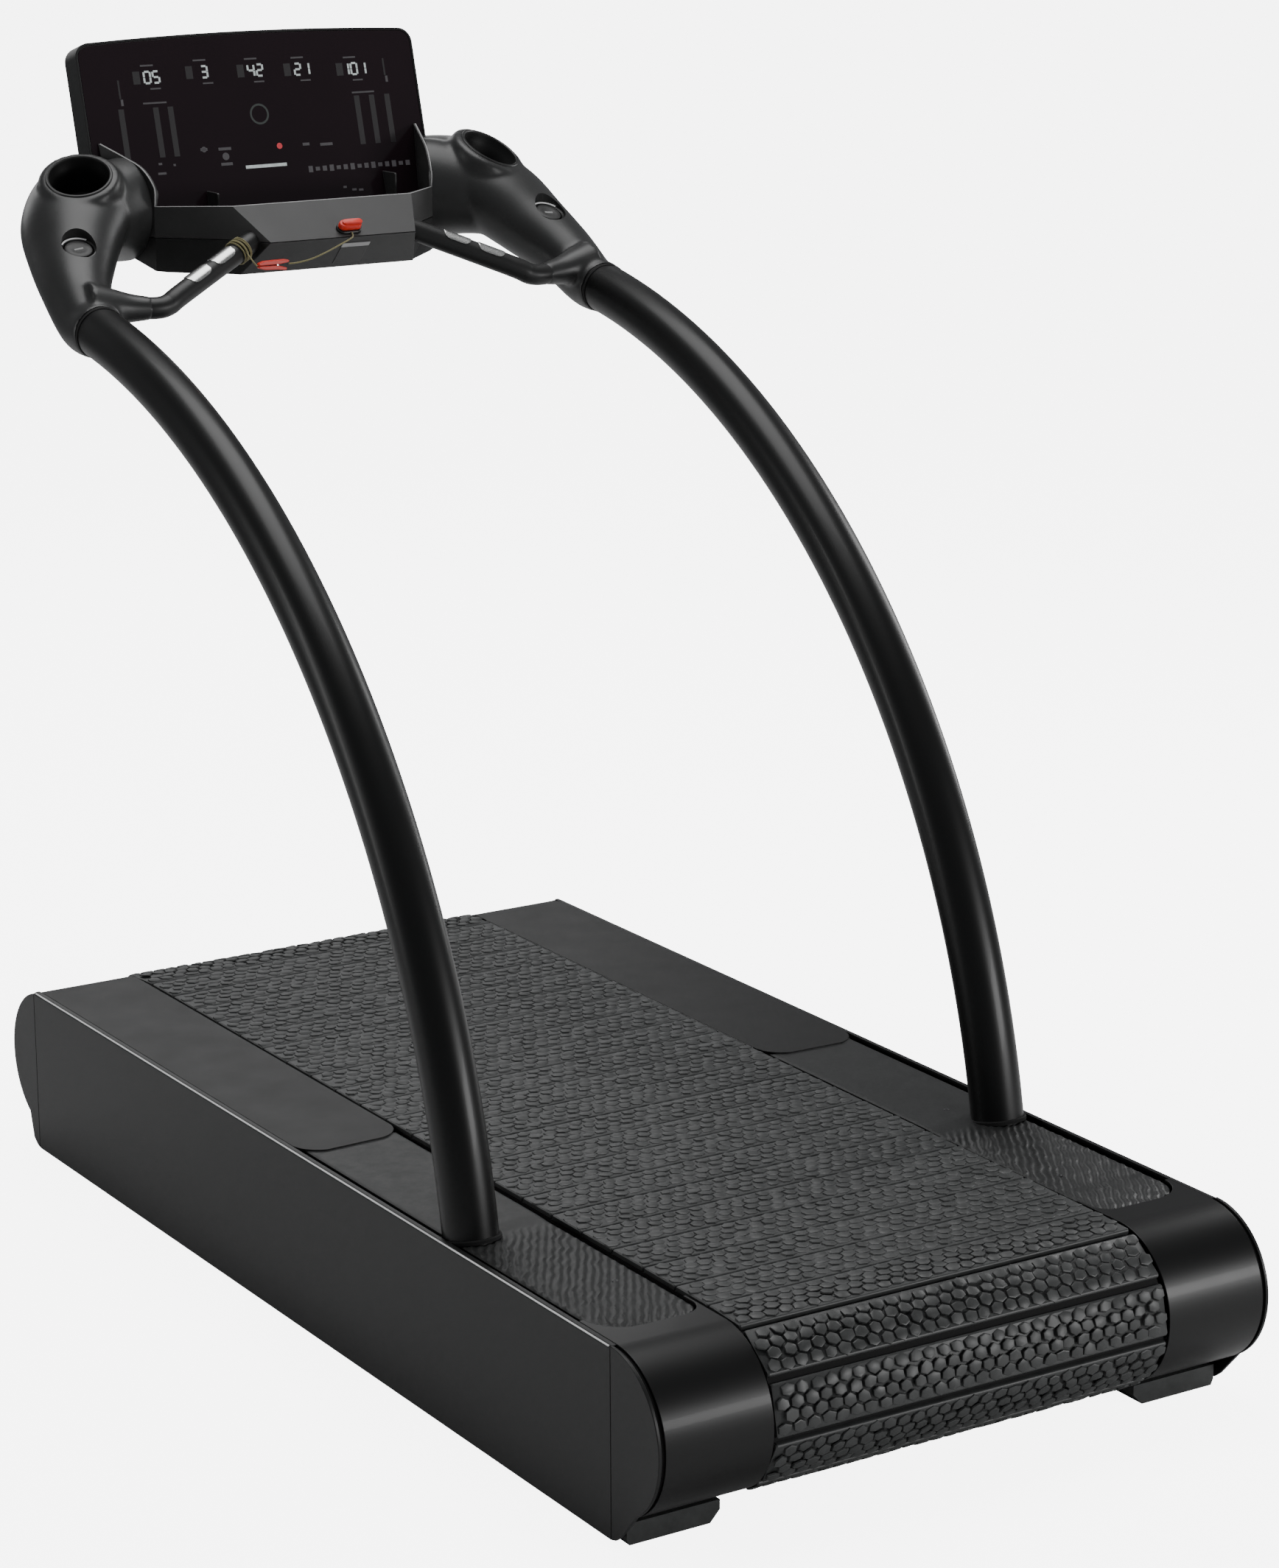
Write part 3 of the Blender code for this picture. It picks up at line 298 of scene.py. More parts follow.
for kind, table in ((surface, PAINTS), (leather_grain, PLASTICS)):
    for name, (colour, roughness, more) in table.items():
        FINISHES[name] = kind(name, colour, roughness, **more)
FINISHES["black_rubber"] = rubber_tread("black_rubber", (0.030, 0.0315, 0.031))
FINISHES["rail_rubber"] = rubber_tread("rail_rubber", (0.0165, 0.0172, 0.0170), 0.30)
FINISHES["circuit_board"] = circuit_board("circuit_board")
FINISHES["olive_cord"] = cord_braid("olive_cord", (0.20, 0.175, 0.065))
FRAME_FINISHES = {
    "frame_steel": ("frame_rail", "cross_member_rear", "cross_member_front", "post_bracket"),
    "steel": ("rear_drum", "front_drum", "elevation_shaft", "elevation_rack"),
    "cast_aluminium": ("bearing_rail", "shaft_bearing_rear", "shaft_bearing_front", "drum_pulley",
                       "motor_pulley", "drive_motor"),
    "black_rubber": ("drive_belt", "rear_foot"),
    "moulded_black": ("power_inlet",),
    "circuit_board": ("display_board",),
}
WHITE_GLOW = glow("white_segments", (0.78, 0.86, 0.86), 0.75)
DIM_GLOW = glow("dim_segments", (0.45, 0.42, 0.46), 0.12)
FAINT_GLOW = glow("faint_segments", (0.22, 0.14, 0.19), 0.010)
RED_GLOW = glow("red_segments", (1.0, 0.06, 0.08), 0.65)
GREEN_GLOW = glow("green_segments", (0.30, 0.42, 0.36), 0.07)


# ---------------------------------------------------------------- shapes

def shade(obj, angle=35):
    obj.data.shade_smooth()
    obj.data.set_sharp_from_angle(angle=math.radians(angle))


def put(obj, finish, body="base", nodes=()):
    """Gives a piece its material, its body and the CAD nodes it stands for."""
    obj.data.materials.clear()
    obj.data.materials.append(FINISHES[finish])
    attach(obj, body)
    if nodes:
        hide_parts(*nodes)
    return obj


def shape(name, points, faces):
    """A piece from points and faces, whose normals are turned outwards."""
    mesh = bpy.data.meshes.new(name)
    mesh.from_pydata([tuple(p) for p in points], [], faces)
    work = bmesh.new()
    work.from_mesh(mesh)
    bmesh.ops.recalc_face_normals(work, faces=work.faces)
    work.to_mesh(mesh)
    work.free()
    obj = bpy.data.objects.new(name, mesh)
    bpy.context.scene.collection.objects.link(obj)
    shade(obj)
    return obj


def rounded(obj, width, segments=3, angle=32):
    step = obj.modifiers.new("edges", "BEVEL")
    step.width = width
    step.segments = segments
    step.limit_method = "ANGLE"
    step.angle_limit = math.radians(angle)
    step.harden_normals = True
    return obj


def frozen(obj):
    """Makes an object's modifiers part of its mesh."""
    bpy.context.view_layer.update()
    graph = bpy.context.evaluated_depsgraph_get()
    mesh = bpy.data.meshes.new_from_object(obj.evaluated_get(graph))
    obj.modifiers.clear()
    obj.data = mesh
    return obj


def combined(obj, other, operation="DIFFERENCE", angle=35):
    """Cuts, joins or crosses a piece with another, which is used up."""
    step = obj.modifiers.new("shape", "BOOLEAN")
    step.operation = operation
    step.solver = "EXACT"
    step.object = other
    frozen(obj)
    shade(obj, angle)
    bpy.data.objects.remove(other)
    return obj


def mirrored(points, side):
    return [(side * p[0], p[1], p[2]) for p in points]


def side_name(base, side):
    return f"{base}_{'right' if side > 0 else 'left'}"


def arc(centre, radius, start, end, steps):
    """Points on a circle between two angles in degrees."""
    turns = [math.radians(start + (end - start) * i / steps) for i in range(steps + 1)]
    return [(centre[0] + radius * math.cos(t), centre[1] + radius * math.sin(t)) for t in turns]


def prism(name, outline, low, high, axis, side=1):
    """An outline extruded along X, Y or Z; the outline gives the other two coordinates."""
    if axis == "x":
        points = [(c, a, b) for c in (low, high) for a, b in outline]
    elif axis == "y":
        points = [(a, c, b) for c in (low, high) for a, b in outline]
    else:
        points = [(a, b, c) for c in (low, high) for a, b in outline]
    count = len(outline)
    faces = [(i, (i + 1) % count, count + (i + 1) % count, count + i) for i in range(count)]
    faces += [tuple(range(count)), tuple(range(count, 2 * count))]
    return shape(name, mirrored(points, side), faces)


def ring_faces(first, second):
    """The faces between two rings of point numbers; either may be a single point."""
    count = max(len(first), len(second))
    faces = []
    for i in range(count):
        j = (i + 1) % count
        if len(first) == 1:
            faces.append((first[0], second[i], second[j]))
        elif len(second) == 1:
            faces.append((first[j], first[i], second[0]))
        else:
            faces.append((first[i], first[j], second[j], second[i]))
    return faces


def turned(name, profile, centre, axis=(1, 0, 0), sides=64, side=1, squeeze=1.0):
    """A profile of (radius, place along the axis) turned about an axis; radius 0 closes an end."""
    turn = UP.rotation_difference(Vector(axis)).to_matrix()
    points, rings = [], []
    for radius, along in profile:
        if radius == 0:
            rings.append([len(points)])
            points.append(turn @ Vector((0, 0, along)))
            continue
        rings.append(list(range(len(points), len(points) + sides)))
        for i in range(sides):
            angle = math.tau * i / sides
            spot = Vector((radius * math.cos(angle), radius * squeeze * math.sin(angle), along))
            points.append(turn @ spot)
    points = mirrored([p + Vector(centre) for p in points], side)
    following = rings[1:] + rings[:1] if profile[0][0] else rings[1:]
    return shape(name, points, [f for pair in zip(rings, following) for f in ring_faces(*pair)])


def smooth_path(path, steps):
    """Points on a Catmull-Rom curve through the given ones, of any number of coordinates."""
    points = [Vector(p) for p in path]
    ends = [2 * points[0] - points[1], *points, 2 * points[-1] - points[-2]]
    made = []
    for i in range(len(points) - 1):
        a, b, c, d = ends[i:i + 4]
        for k in range(steps):
            t = k / steps
            made.append(((2 * b) + (c - a) * t + (2 * a - 5 * b + 4 * c - d) * t * t
                         + (3 * b - a - 3 * c + d) * t ** 3) / 2)
    return made + [points[-1]]


def heading(path, i):
    """The direction of a path at one of its points."""
    return (path[min(i + 1, len(path) - 1)] - path[max(i - 1, 0)]).normalized()


def round_angles(sides):
    return [math.tau * k / sides for k in range(sides)]


def sections_along(path, radii, sides):
    """Rings of points square to a path. Each radius is (level half width, half height)."""
    rings = []
    for i, centre in enumerate(path):
        ahead = heading(path, i)
        level = ahead.cross(UP).normalized()
        upward = level.cross(ahead)
        width, height = radii[i][0], radii[i][1]
        rings.append([centre + level * width * math.cos(a) + upward * height * math.sin(a)
                      for a in round_angles(sides)])
    return rings


def swept(name, path, radii, steps, sides):
    """A skin along a smooth path, with smoothly changing radii."""
    return skinned(name, sections_along(smooth_path(path, steps), smooth_path(radii, steps), sides))


def skinned(name, rings, side=1):
    """A closed skin over rings of points, with flat ends."""
    sides = len(rings[0])
    numbers = [list(range(i * sides, (i + 1) * sides)) for i in range(len(rings))]
    faces = [face for pair in zip(numbers, numbers[1:]) for face in ring_faces(*pair)]
    faces += [tuple(numbers[0]), tuple(numbers[-1])]
    return shape(name, mirrored([p for ring in rings for p in ring], side), faces)


def tube(name, path, radius, sides=16, side=1):
    """A round tube along a path, turned as little as it can from ring to ring."""
    path = [Vector(p) for p in path]
    ahead = (path[1] - path[0]).normalized()
    across = ahead.orthogonal().normalized()
    rings = []
    for i, centre in enumerate(path):
        ahead = heading(path, i)
        across = (across - ahead * across.dot(ahead)).normalized()
        upward = ahead.cross(across)
        rings.append([centre + radius * (across * math.cos(a) + upward * math.sin(a))
                      for a in round_angles(sides)])
    return skinned(name, rings, side)


def mirror_copy(obj, name):
    """The same piece for the left side."""
    mesh = obj.data.copy()
    mesh.transform(Matrix.Scale(-1, 4, Vector((1, 0, 0))))
    mesh.flip_normals()
    copy = bpy.data.objects.new(name, mesh)
    bpy.context.scene.collection.objects.link(copy)
    shade(copy)
    return copy


def joined(name, parts):
    """One object from several, whose meshes stay as they are."""
    points, faces = [], []
    for part in parts:
        start = len(points)
        points += [tuple(v.co) for v in part.data.vertices]
        faces += [tuple(start + i for i in face.vertices) for face in part.data.polygons]
        bpy.data.objects.remove(part)
    return shape(name, points, faces)


# ---------------------------------------------------------------- camera and cords

def add_camera():
    azimuth, roll, level = CAMERA_AZIMUTH, CAMERA_ROLL, math.cos(CAMERA_ELEVATION)
    back = Vector((math.sin(azimuth) * level, -math.cos(azimuth) * level, math.sin(CAMERA_ELEVATION)))
    right = (-back).cross(UP).normalized()
    up = right.cross(-back)
    level_right = math.cos(roll) * right + math.sin(roll) * up
    level_up = -math.sin(roll) * right + math.cos(roll) * up
    data = bpy.data.cameras.new("camera")
    data.lens = CAMERA_LENS
    data.sensor_width = 36.0
    camera = bpy.data.objects.new("camera", data)
    bpy.context.scene.collection.objects.link(camera)
    place = Matrix((level_right, level_up, back)).transposed().to_4x4()
    place.translation = CAMERA_TARGET + back * CAMERA_DISTANCE
    camera.matrix_world = place
    bpy.context.scene.camera = camera


def key_lanyard():
    """The cord from the pull key to the clothing clip."""
    path = smooth_path(LANYARD_PATH, 6)
    cord = tube("lanyard_cord", path, CORD_R, 12)
    cord.data.materials.append(FINISHES["olive_cord"])
    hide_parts("lanyard")
    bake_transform(cord)
    return cord, path


def grip_wrap():
    """The cord's last turns, wound round the left grip bar, with their knot."""
    start, end = (Vector((-p[0], p[1], p[2])) for p in GRIP_PATH[4:6])
    ahead = (end - start).normalized()
    centre = end - ahead * 0.006
    across = ahead.cross(UP).normalized()
    upward = across.cross(ahead)
    radius = GRIP_R + 0.0008 + CORD_R
    turns, per_turn, pitch = 5.4, 26, 0.0036
    path = []
    for i in range(int(turns * per_turn) + 1):
        angle = math.radians(-120) - math.tau * i / per_turn
        along = (i / per_turn - turns / 2) * pitch + 0.0011 * math.sin(angle * 0.41)
        path.append(centre + ahead * along + radius * (across * math.cos(angle) + upward * math.sin(angle)))
    mouth = CLIP_PLACE + Vector((-0.026, 0.0, 0.0))
    lead = [path[-1], path[-1].lerp(mouth, 0.35) + Vector((0.0, -0.002, -0.004)),
            path[-1].lerp(mouth, 0.75) + Vector((0.0, -0.001, -0.003)), mouth]
    path += smooth_path([path[-2], *lead], 5)[6:]
    cord = tube("lanyard_turns", path, CORD_R, 12)
    put(cord, "olive_cord", "base", ["lanyard_wrap"])
    knot_place = path[0]
    loops = []
    for k, tilt in enumerate((0.0, 1.1, 2.2)):
        loop = []
        for i in range(15):
            angle = math.tau * i / 14
            spot = Vector((0.0052 * math.cos(angle), 0.0036 * math.sin(angle), 0.0016 * math.sin(2 * angle)))
            turn = Matrix.Rotation(tilt, 3, "X") @ Matrix.Rotation(0.7 * k, 3, "Z")
            loop.append(knot_place + turn @ spot)
        loops.append(tube(f"loop_{k}", loop, CORD_R * 1.1, 10))
    knot = joined("lanyard_knot", loops)
    put(knot, "olive_cord")
    return cord, path, knot


def clothing_clip():
    """A moulded crocodile clip: ribbed arms, a hinge pin and a small spring."""
    x, y, z = CLIP_PLACE
    hinge = x + 0.006
    half = 0.0045
    upper = [(x - 0.025, z + 0.0006), (x - 0.0245, z + 0.0040), (x - 0.016, z + 0.0068),
             (x + 0.002, z + 0.0072), (x + 0.020, z + 0.0072), (x + 0.026, z + 0.0062),
             (x + 0.026, z + 0.0030), (hinge + 0.004, z + 0.0008)]
    body = rounded(prism("clip_body", upper, y - half, y + half, "y"), 0.0012)
    put(body, "red_plastic", "base", ["safety_clip"])
    lower = [(x - 0.025, z - 0.0006), (hinge, z - 0.0006), (x + 0.022, z - 0.0050), (x + 0.0215, z - 0.0088),
             (x + 0.004, z - 0.0070), (x - 0.014, z - 0.0064), (x - 0.0245, z - 0.0036)]
    jaw = rounded(prism("clip_lever", lower, y - half, y + half, "y"), 0.0012)
    put(jaw, "red_plastic", "jaw", ["clip_jaw"])
    teeth = []
    for k in range(4):
        spot = x - 0.0235 + 0.0026 * k
        tooth = [(spot - 0.0009, z - 0.0008), (spot + 0.0009, z - 0.0008), (spot, z - 0.0001)]
        teeth.append(prism(f"tooth_{k}", tooth, y - half + 0.001, y + half - 0.001, "y"))
    put(joined("clip_teeth", teeth), "red_plastic", "jaw")
    pin = [(0, -0.0052), (0.0013, -0.0052), (0.0016, -0.0047),
           (0.0016, 0.0047), (0.0013, 0.0052), (0, 0.0052)]
    put(turned("clip_pin", pin, (hinge, y, z), (0, 1, 0), 20), "steel")
    coil_r, coil_pitch = 0.0022, 0.0028
    coil = [Vector((hinge + coil_r * math.cos(a), y - 0.0028 + coil_pitch * a / math.tau,
                    z + coil_r * math.sin(a))) for a in (math.tau * i / 16 for i in range(33))]
    put(tube("clip_spring", coil, 0.00035, 8), "steel")
    ribs = []
    for k in range(4):
        spot = x + 0.009 + 0.0034 * k
        ribs.append(turned(f"rib_{k}", [(0, -0.0036), (0.0006, -0.0033), (0.0006, 0.0033), (0, 0.0036)],
                           (spot, y, z + 0.0067), (0, 1, 0), 10))
    put(joined("clip_ribs", ribs), "red_plastic")
    return [body, jaw]


def add_cords():
    cord, path = key_lanyard()
    wrap, wrap_path, knot = grip_wrap()
    clip = clothing_clip()


# ---------------------------------------------------------------- deck

def straight_bead(name, x, low_y, high_y, z, radius, sides, side):
    """A thin highlight bead along Y."""
    path = [Vector((x, low_y + (high_y - low_y) * k / 20, z)) for k in range(21)]
    return tube(name, path, radius, sides, side)


def side_panels(side):
    bend = arc((HALF_WIDTH - PLATE, DECK_Z - PLATE), PLATE, 0, 90, 10)
    lip = COVER_OUTER_X + CLEAR
    outline = [(HALF_WIDTH - PLATE, PANEL_BOTTOM_Z), (HALF_WIDTH, PANEL_BOTTOM_Z), *bend, (lip, DECK_Z),
               (lip, DECK_Z - PLATE), (HALF_WIDTH - PLATE, DECK_Z - PLATE)]
    panel = prism(side_name("panel_skin", side), outline, REAR_SEAM_Y, FRONT_SEAM_Y, "y", side)
    rounded(panel, 0.0008, 2)
    put(panel, "satin_black_paint", "base", [side_name("side_panel", side)])
    # A near-white bead sunk in the panel's rounded top lip: a painted highlight line along the edge.
    inset, sunk = 0.004, PLATE - 0.0022
    bead = straight_bead(side_name("panel_edge_line", side), HALF_WIDTH - sunk, REAR_SEAM_Y + inset,
                         FRONT_SEAM_Y - inset, DECK_Z - sunk, 0.0021, 12, side)
    put(bead, "edge_bright")
    # A pale bead along the deck cover's inner top edge: a painted highlight line.
    bead = straight_bead(side_name("cover_edge_line", side), COVER_INNER_X + 0.0008, -0.012, 0.788,
                         DECK_Z - 0.0014, 0.0011, 10, side)
    put(bead, "edge_grey")


def end_plates(side):
    """The D-shaped plates that carry on the side panel's outline round both ends of the deck."""
    inner_x = HALF_WIDTH - PLATE
    for place, forward, seam, drum in (("front", 1, FRONT_SEAM_Y, FRONT_DRUM_Y),
                                       ("rear", -1, REAR_SEAM_Y, REAR_DRUM_Y)):
        node = side_name(f"end_plate_{place}", side)
        inset = abs(seam - drum)
        start = math.degrees(math.acos(min(inset / COVER_R, 1.0)))
        rim = arc((-inset, DRUM_Z), COVER_R, start, -58, 48)
        outline = [*rim, (0.022, 0.016), (0.010, 0.007), (0.0, PANEL_BOTTOM_Z)]
        outline = [(seam + forward * (reach + 0.0009), z) for reach, z in outline]
        plate = prism(f"{node}_skin", outline, inner_x, HALF_WIDTH, "x", side)
        rounded(plate, 0.0012, 3)
        put(plate, "satin_black_paint", "base", [node])
        seam_liners(node, forward, seam, drum, side)


def seam_liners(node, forward, seam, drum, side):
    """Dark strips that close the gaps behind an end plate: round its drum and along its seam."""
    inner_x = HALF_WIDTH - PLATE
    radius = COVER_R - COVER_T - 0.0003
    outer, inner = ([(drum + forward * reach, z) for reach, z in arc((0, DRUM_Z), r, 96, -66, 54)]
                    for r in (radius, radius - 0.0015))
    put(prism(f"{node}_liner", outer + inner[::-1], COVER_OUTER_X - 0.010, inner_x - 0.0001, "x", side),
        "dark_rubber")
    half, low = 0.012, PANEL_BOTTOM_Z + 0.001
    strip = [(seam - half, low), (seam + half, low), (seam + half, DRUM_Z), (seam - half, DRUM_Z)]
    strip[1 if forward > 0 else 0] = (seam + forward * 0.009, 0.014)
    put(prism(f"{node}_seam", strip, inner_x - 0.0022, inner_x - 0.0002, "x", side), "dark_rubber")


def cover_profile(forward, drum_y, inner_y):
    """A sheet along the deck's top that wraps round a drum, as a (y, z) outline."""
    outer, inner = ([(drum_y + forward * reach, z) for reach, z in arc((0, DRUM_Z), radius, 90, -72, 60)]
                    for radius in (COVER_R, COVER_R - COVER_T))
    return [(inner_y, DECK_Z), *outer, *inner[::-1], (inner_y, DECK_Z - COVER_T)]


def cover_nose_outline():
    """The deck cover's rear edge in plan, bulging to the rear between two round corners, from inside out."""
    radius = COVER_NOSE_CORNER
    left = arc((COVER_INNER_X + radius, COVER_NOSE_Y + 0.048), radius, 180, 256, 12)
    right = arc((COVER_OUTER_X - radius, COVER_NOSE_Y + radius), radius, 284, 360, 12)
    return left + right


def foot_rail_front():
    """The foot rail's front edge in plan, hollowed for the deck cover's nose."""
    return [(x, y - 0.0015) for x, y in cover_nose_outline()]


def foot_rail_outline(grow):
    """Plan of the foot rail: round corners at the rear, a hollow front end for the deck cover's nose."""
    inner, outer, rear = RAIL_LOW.x - grow, RAIL_HIGH.x + grow, RAIL_LOW.y - grow
    big, small = RAIL_OUTER_CORNER, RAIL_INNER_CORNER
    corner = arc((outer - big, rear + big), big, 0, -90, 20)
    corner += arc((inner + small, rear + small), small, -90, -180, 14)
    front = [p for p in foot_rail_front() if inner < p[0] < outer]
    return corner + [(inner, front[0][1]), *front, (outer, front[-1][1])]


def end_covers(side):
    name = side_name("rear_cover", side)
    profile = cover_profile(-1, REAR_DRUM_Y, RAIL_LOW.y + 0.050)
    cover = prism(f"{name}_skin", profile, COVER_INNER_X, COVER_OUTER_X, "x", side)
    combined(cover, prism("notch", foot_rail_outline(RAIL_GAP), DECK_Z - 0.03, DECK_Z + 0.03, "z", side))
    rounded(cover, 0.0010, 3)
    put(cover, "gloss_black_paint", "base", [name])

    name = side_name("deck_cover", side)
    profile = cover_profile(1, FRONT_DRUM_Y, COVER_NOSE_Y - 0.02)
    cover = prism(f"{name}_skin", profile, COVER_INNER_X, COVER_OUTER_X, "x", side)
    nose = cover_nose_outline()
    far = FRONT_DRUM_Y + COVER_R + 0.05
    keep = [(COVER_INNER_X - 0.01, far), (COVER_INNER_X - 0.01, nose[0][1]), *nose[1:-1],
            (COVER_OUTER_X + 0.01, nose[-1][1]), (COVER_OUTER_X + 0.01, far)]
    combined(cover, prism("nose", keep, 0.0, DECK_Z + 0.05, "z", side), "INTERSECT")
    rounded(cover, 0.0012, 3)
    put(cover, "moulded_charcoal", "base", [name])


def rail_span(y):
    """The foot rail's inner and outer edge in plan at a y."""
    outline = foot_rail_outline(0.0)
    crossings = []
    for (x0, y0), (x1, y1) in zip(outline, outline[1:] + outline[:1]):
        if (y0 <= y < y1) or (y1 <= y < y0):
            crossings.append(x0 + (x1 - x0) * (y - y0) / (y1 - y0))
    return min(crossings), max(crossings)


def ridge_height(x, y):
    """Irregular diagonal ridges behind the post, which fade out towards the front."""
    run, rise = 0.85, 0.53
    warp = 0.0040 * noise.noise(Vector((x * 45, y * 45, 3.0)))
    across = x * run - y * rise + warp
    crest = 0.5 + 0.5 * math.sin(math.tau * across / RIDGE_PERIOD)
    breaks = 0.85 + 0.7 * noise.noise(Vector((across * 200, (x * rise + y * run) * 45, 9.0)))
    fade = min(1.0, max(0.0, (RIDGE_END_Y - y) / 0.04))
    return RIDGE_HEIGHT * crest ** 1.6 * min(1.0, max(0.25, breaks)) * fade


def foot_rails(side):
    """The rubber foot rail: a mat with a moulded grip texture, laid level with the covers."""
    name = side_name("foot_rail", side)
    low_y, high_y = RAIL_LOW.y + 0.0002, RAIL_HIGH.y - 0.004
    rows, columns, fine_rows = 330, 64, 40
    edge_width, edge_drop = 0.004, 0.0012
    base_z = DECK_Z - RAIL_GAP - RIDGE_ROOM
    points, faces = [], []
    for i in range(rows + 1):
        share = i / rows if i > fine_rows else (i / fine_rows) ** 2 * fine_rows / rows
        y = low_y + (high_y - low_y) * share
        inner, outer = rail_span(y)
        rise = RIDGE_ROOM * min(1.0, max(0.0, (y + 0.47) / 0.03))
        for j in range(columns + 1):
            x = inner + (outer - inner) * (j / columns)
            edge = min(x - inner, outer - x, (y - low_y) + edge_width, edge_width) / edge_width
            z = base_z + rise + ridge_height(side * x, y) * edge - edge_drop * (1 - edge) ** 2
            points.append((x, y, min(z, DECK_Z - 0.0002)))
    count = columns + 1
    for i in range(rows):
        for j in range(columns):
            a = i * count + j
            faces.append((a, a + 1, a + count + 1, a + count))
    rim = list(range(count)) + [i * count + columns for i in range(1, rows + 1)]
    rim += [rows * count + j for j in range(columns - 1, -1, -1)]
    rim += [i * count for i in range(rows - 1, 0, -1)]
    floor = len(points)
    points += [(points[i][0], points[i][1], RAIL_LOW.z) for i in rim]
    for k in range(len(rim)):
        m = (k + 1) % len(rim)
        faces.append((rim[k], rim[m], floor + m, floor + k))
    faces.append(tuple(range(floor, floor + len(rim))))
    put(shape(f"{name}_mat", mirrored(points, side), faces), "rail_rubber", "base", [name])
    nose = [p for p in foot_rail_front() if RAIL_LOW.x < p[0] < RAIL_HIGH.x]
    start_y, top = high_y - 0.0006, base_z + RIDGE_ROOM + 0.0002
    lip = [(RAIL_LOW.x, start_y), (RAIL_LOW.x, nose[0][1]), *nose, (RAIL_HIGH.x, nose[-1][1]),
           (RAIL_HIGH.x, start_y)]
    infill = prism(side_name("foot_rail_tail", side), lip, RAIL_LOW.z, top, "z", side)
    put(rounded(infill, 0.0006, 2), "rail_rubber")


def screw(name, place, axis=(0, 0, 1), radius=0.0042, side=1):
    """A countersunk screw head with a hexagon socket."""
    profile = [(0, -0.0030), (radius * 0.6, -0.0030), (radius, -0.0004), (radius * 0.92, 0.0003), (0, 0.0005)]
    head = turned(name, profile, place, axis, 32, side)
    hexagon = [(0, -0.0016), (radius * 0.5, -0.0016), (radius * 0.5, 0.004), (0, 0.004)]
    combined(head, turned("socket", hexagon, place, axis, 6, side))
    return put(head, "frame_steel")


def deck_screws(side):
    for k, (x, y) in enumerate(((0.392, -0.395), (0.360, -0.700), (0.395, 0.120), (0.395, 0.640))):
        z = DECK_Z - 0.0021 if y < RAIL_HIGH.y else DECK_Z - 0.0006
        screw(side_name(f"deck_screw_{k}", side), (x, y, z), side=side)


# ---------------------------------------------------------------- belt

def loop_place(distance, lift):
    """The (y, z) point and outward direction at a distance round the belt, lifted off its outer face."""
    run = FRONT_DRUM_Y - REAR_DRUM_Y
    bend = math.pi * BELT_R
    distance %= 2 * (run + bend)
    if distance < run:
        return Vector((REAR_DRUM_Y + distance, DRUM_Z + BELT_R + lift)), Vector((0, 1))
    distance -= run
    if distance < bend:
        out = Vector((math.sin(distance / BELT_R), math.cos(distance / BELT_R)))
        return Vector((FRONT_DRUM_Y, DRUM_Z)) + out * (BELT_R + lift), out
    distance -= bend
    if distance < run:
        return Vector((FRONT_DRUM_Y - distance, DRUM_Z - BELT_R - lift)), Vector((0, -1))
    turn = (distance - run) / BELT_R
    out = Vector((-math.sin(turn), -math.cos(turn)))
    return Vector((REAR_DRUM_Y, DRUM_Z)) + out * (BELT_R + lift), out


def outer_distance(distance):
    """The distance along the belt's outer face for a distance along its neutral line."""
    run = FRONT_DRUM_Y - REAR_DRUM_Y
    stretch = BELT_R / (BELT_R - NEUTRAL_DEPTH)
    bend = math.pi * (BELT_R - NEUTRAL_DEPTH)
    distance %= 2 * (run + bend)
    if distance < run:
        return distance
    if distance < run + bend:
        return run + (distance - run) * stretch
    if distance < 2 * run + bend:
        return distance + bend * (stretch - 1)
    return 2 * run + bend * stretch + (distance - 2 * run - bend) * stretch


def slat_section(half):
    """A slat's section as (along, height) points: flat top with rolled edges, and a keel below."""
    roll = 0.0035
    top = arc((half - roll, -PEBBLE_HEIGHT - roll), roll, 0, 90, 4)
    other = arc((-half + roll, -PEBBLE_HEIGHT - roll), roll, 90, 180, 4)
    return top + other + [(-half, -SLAT_T), (half, -SLAT_T)]


def pebble(centre, width, length, draw):
    """An irregular six-sided pebble with a chamfered top, as rings of (across, along, height) points."""
    tip = (draw.uniform(-0.0009, 0.0009), draw.uniform(-0.0011, 0.0011))
    reach = [draw.uniform(0.80, 1.12) for _ in range(PEBBLE_SIDES)]
    drop = draw.choice((0.0, 0.0003, 0.0006, 0.0009))
    rings = []
    for share, height in ((1.0, -0.0006), (0.93, PEBBLE_HEIGHT * 0.72), (0.78, PEBBLE_HEIGHT)):
        ring = []
        for k in range(PEBBLE_SIDES):
            angle = math.tau * (k + 0.5) / PEBBLE_SIDES
            a = share * reach[k] * width * math.cos(angle)
            b = share * reach[k] * length * math.sin(angle)
            lean = tip[0] * a / width + tip[1] * b / length - drop
            ring.append((centre[0] + a, centre[1] + b, min(height + lean, PEBBLE_HEIGHT) - PEBBLE_HEIGHT))
        rings.append(ring)
    return rings


def belt_length():
    return 2 * (FRONT_DRUM_Y - REAR_DRUM_Y) + math.tau * BELT_R


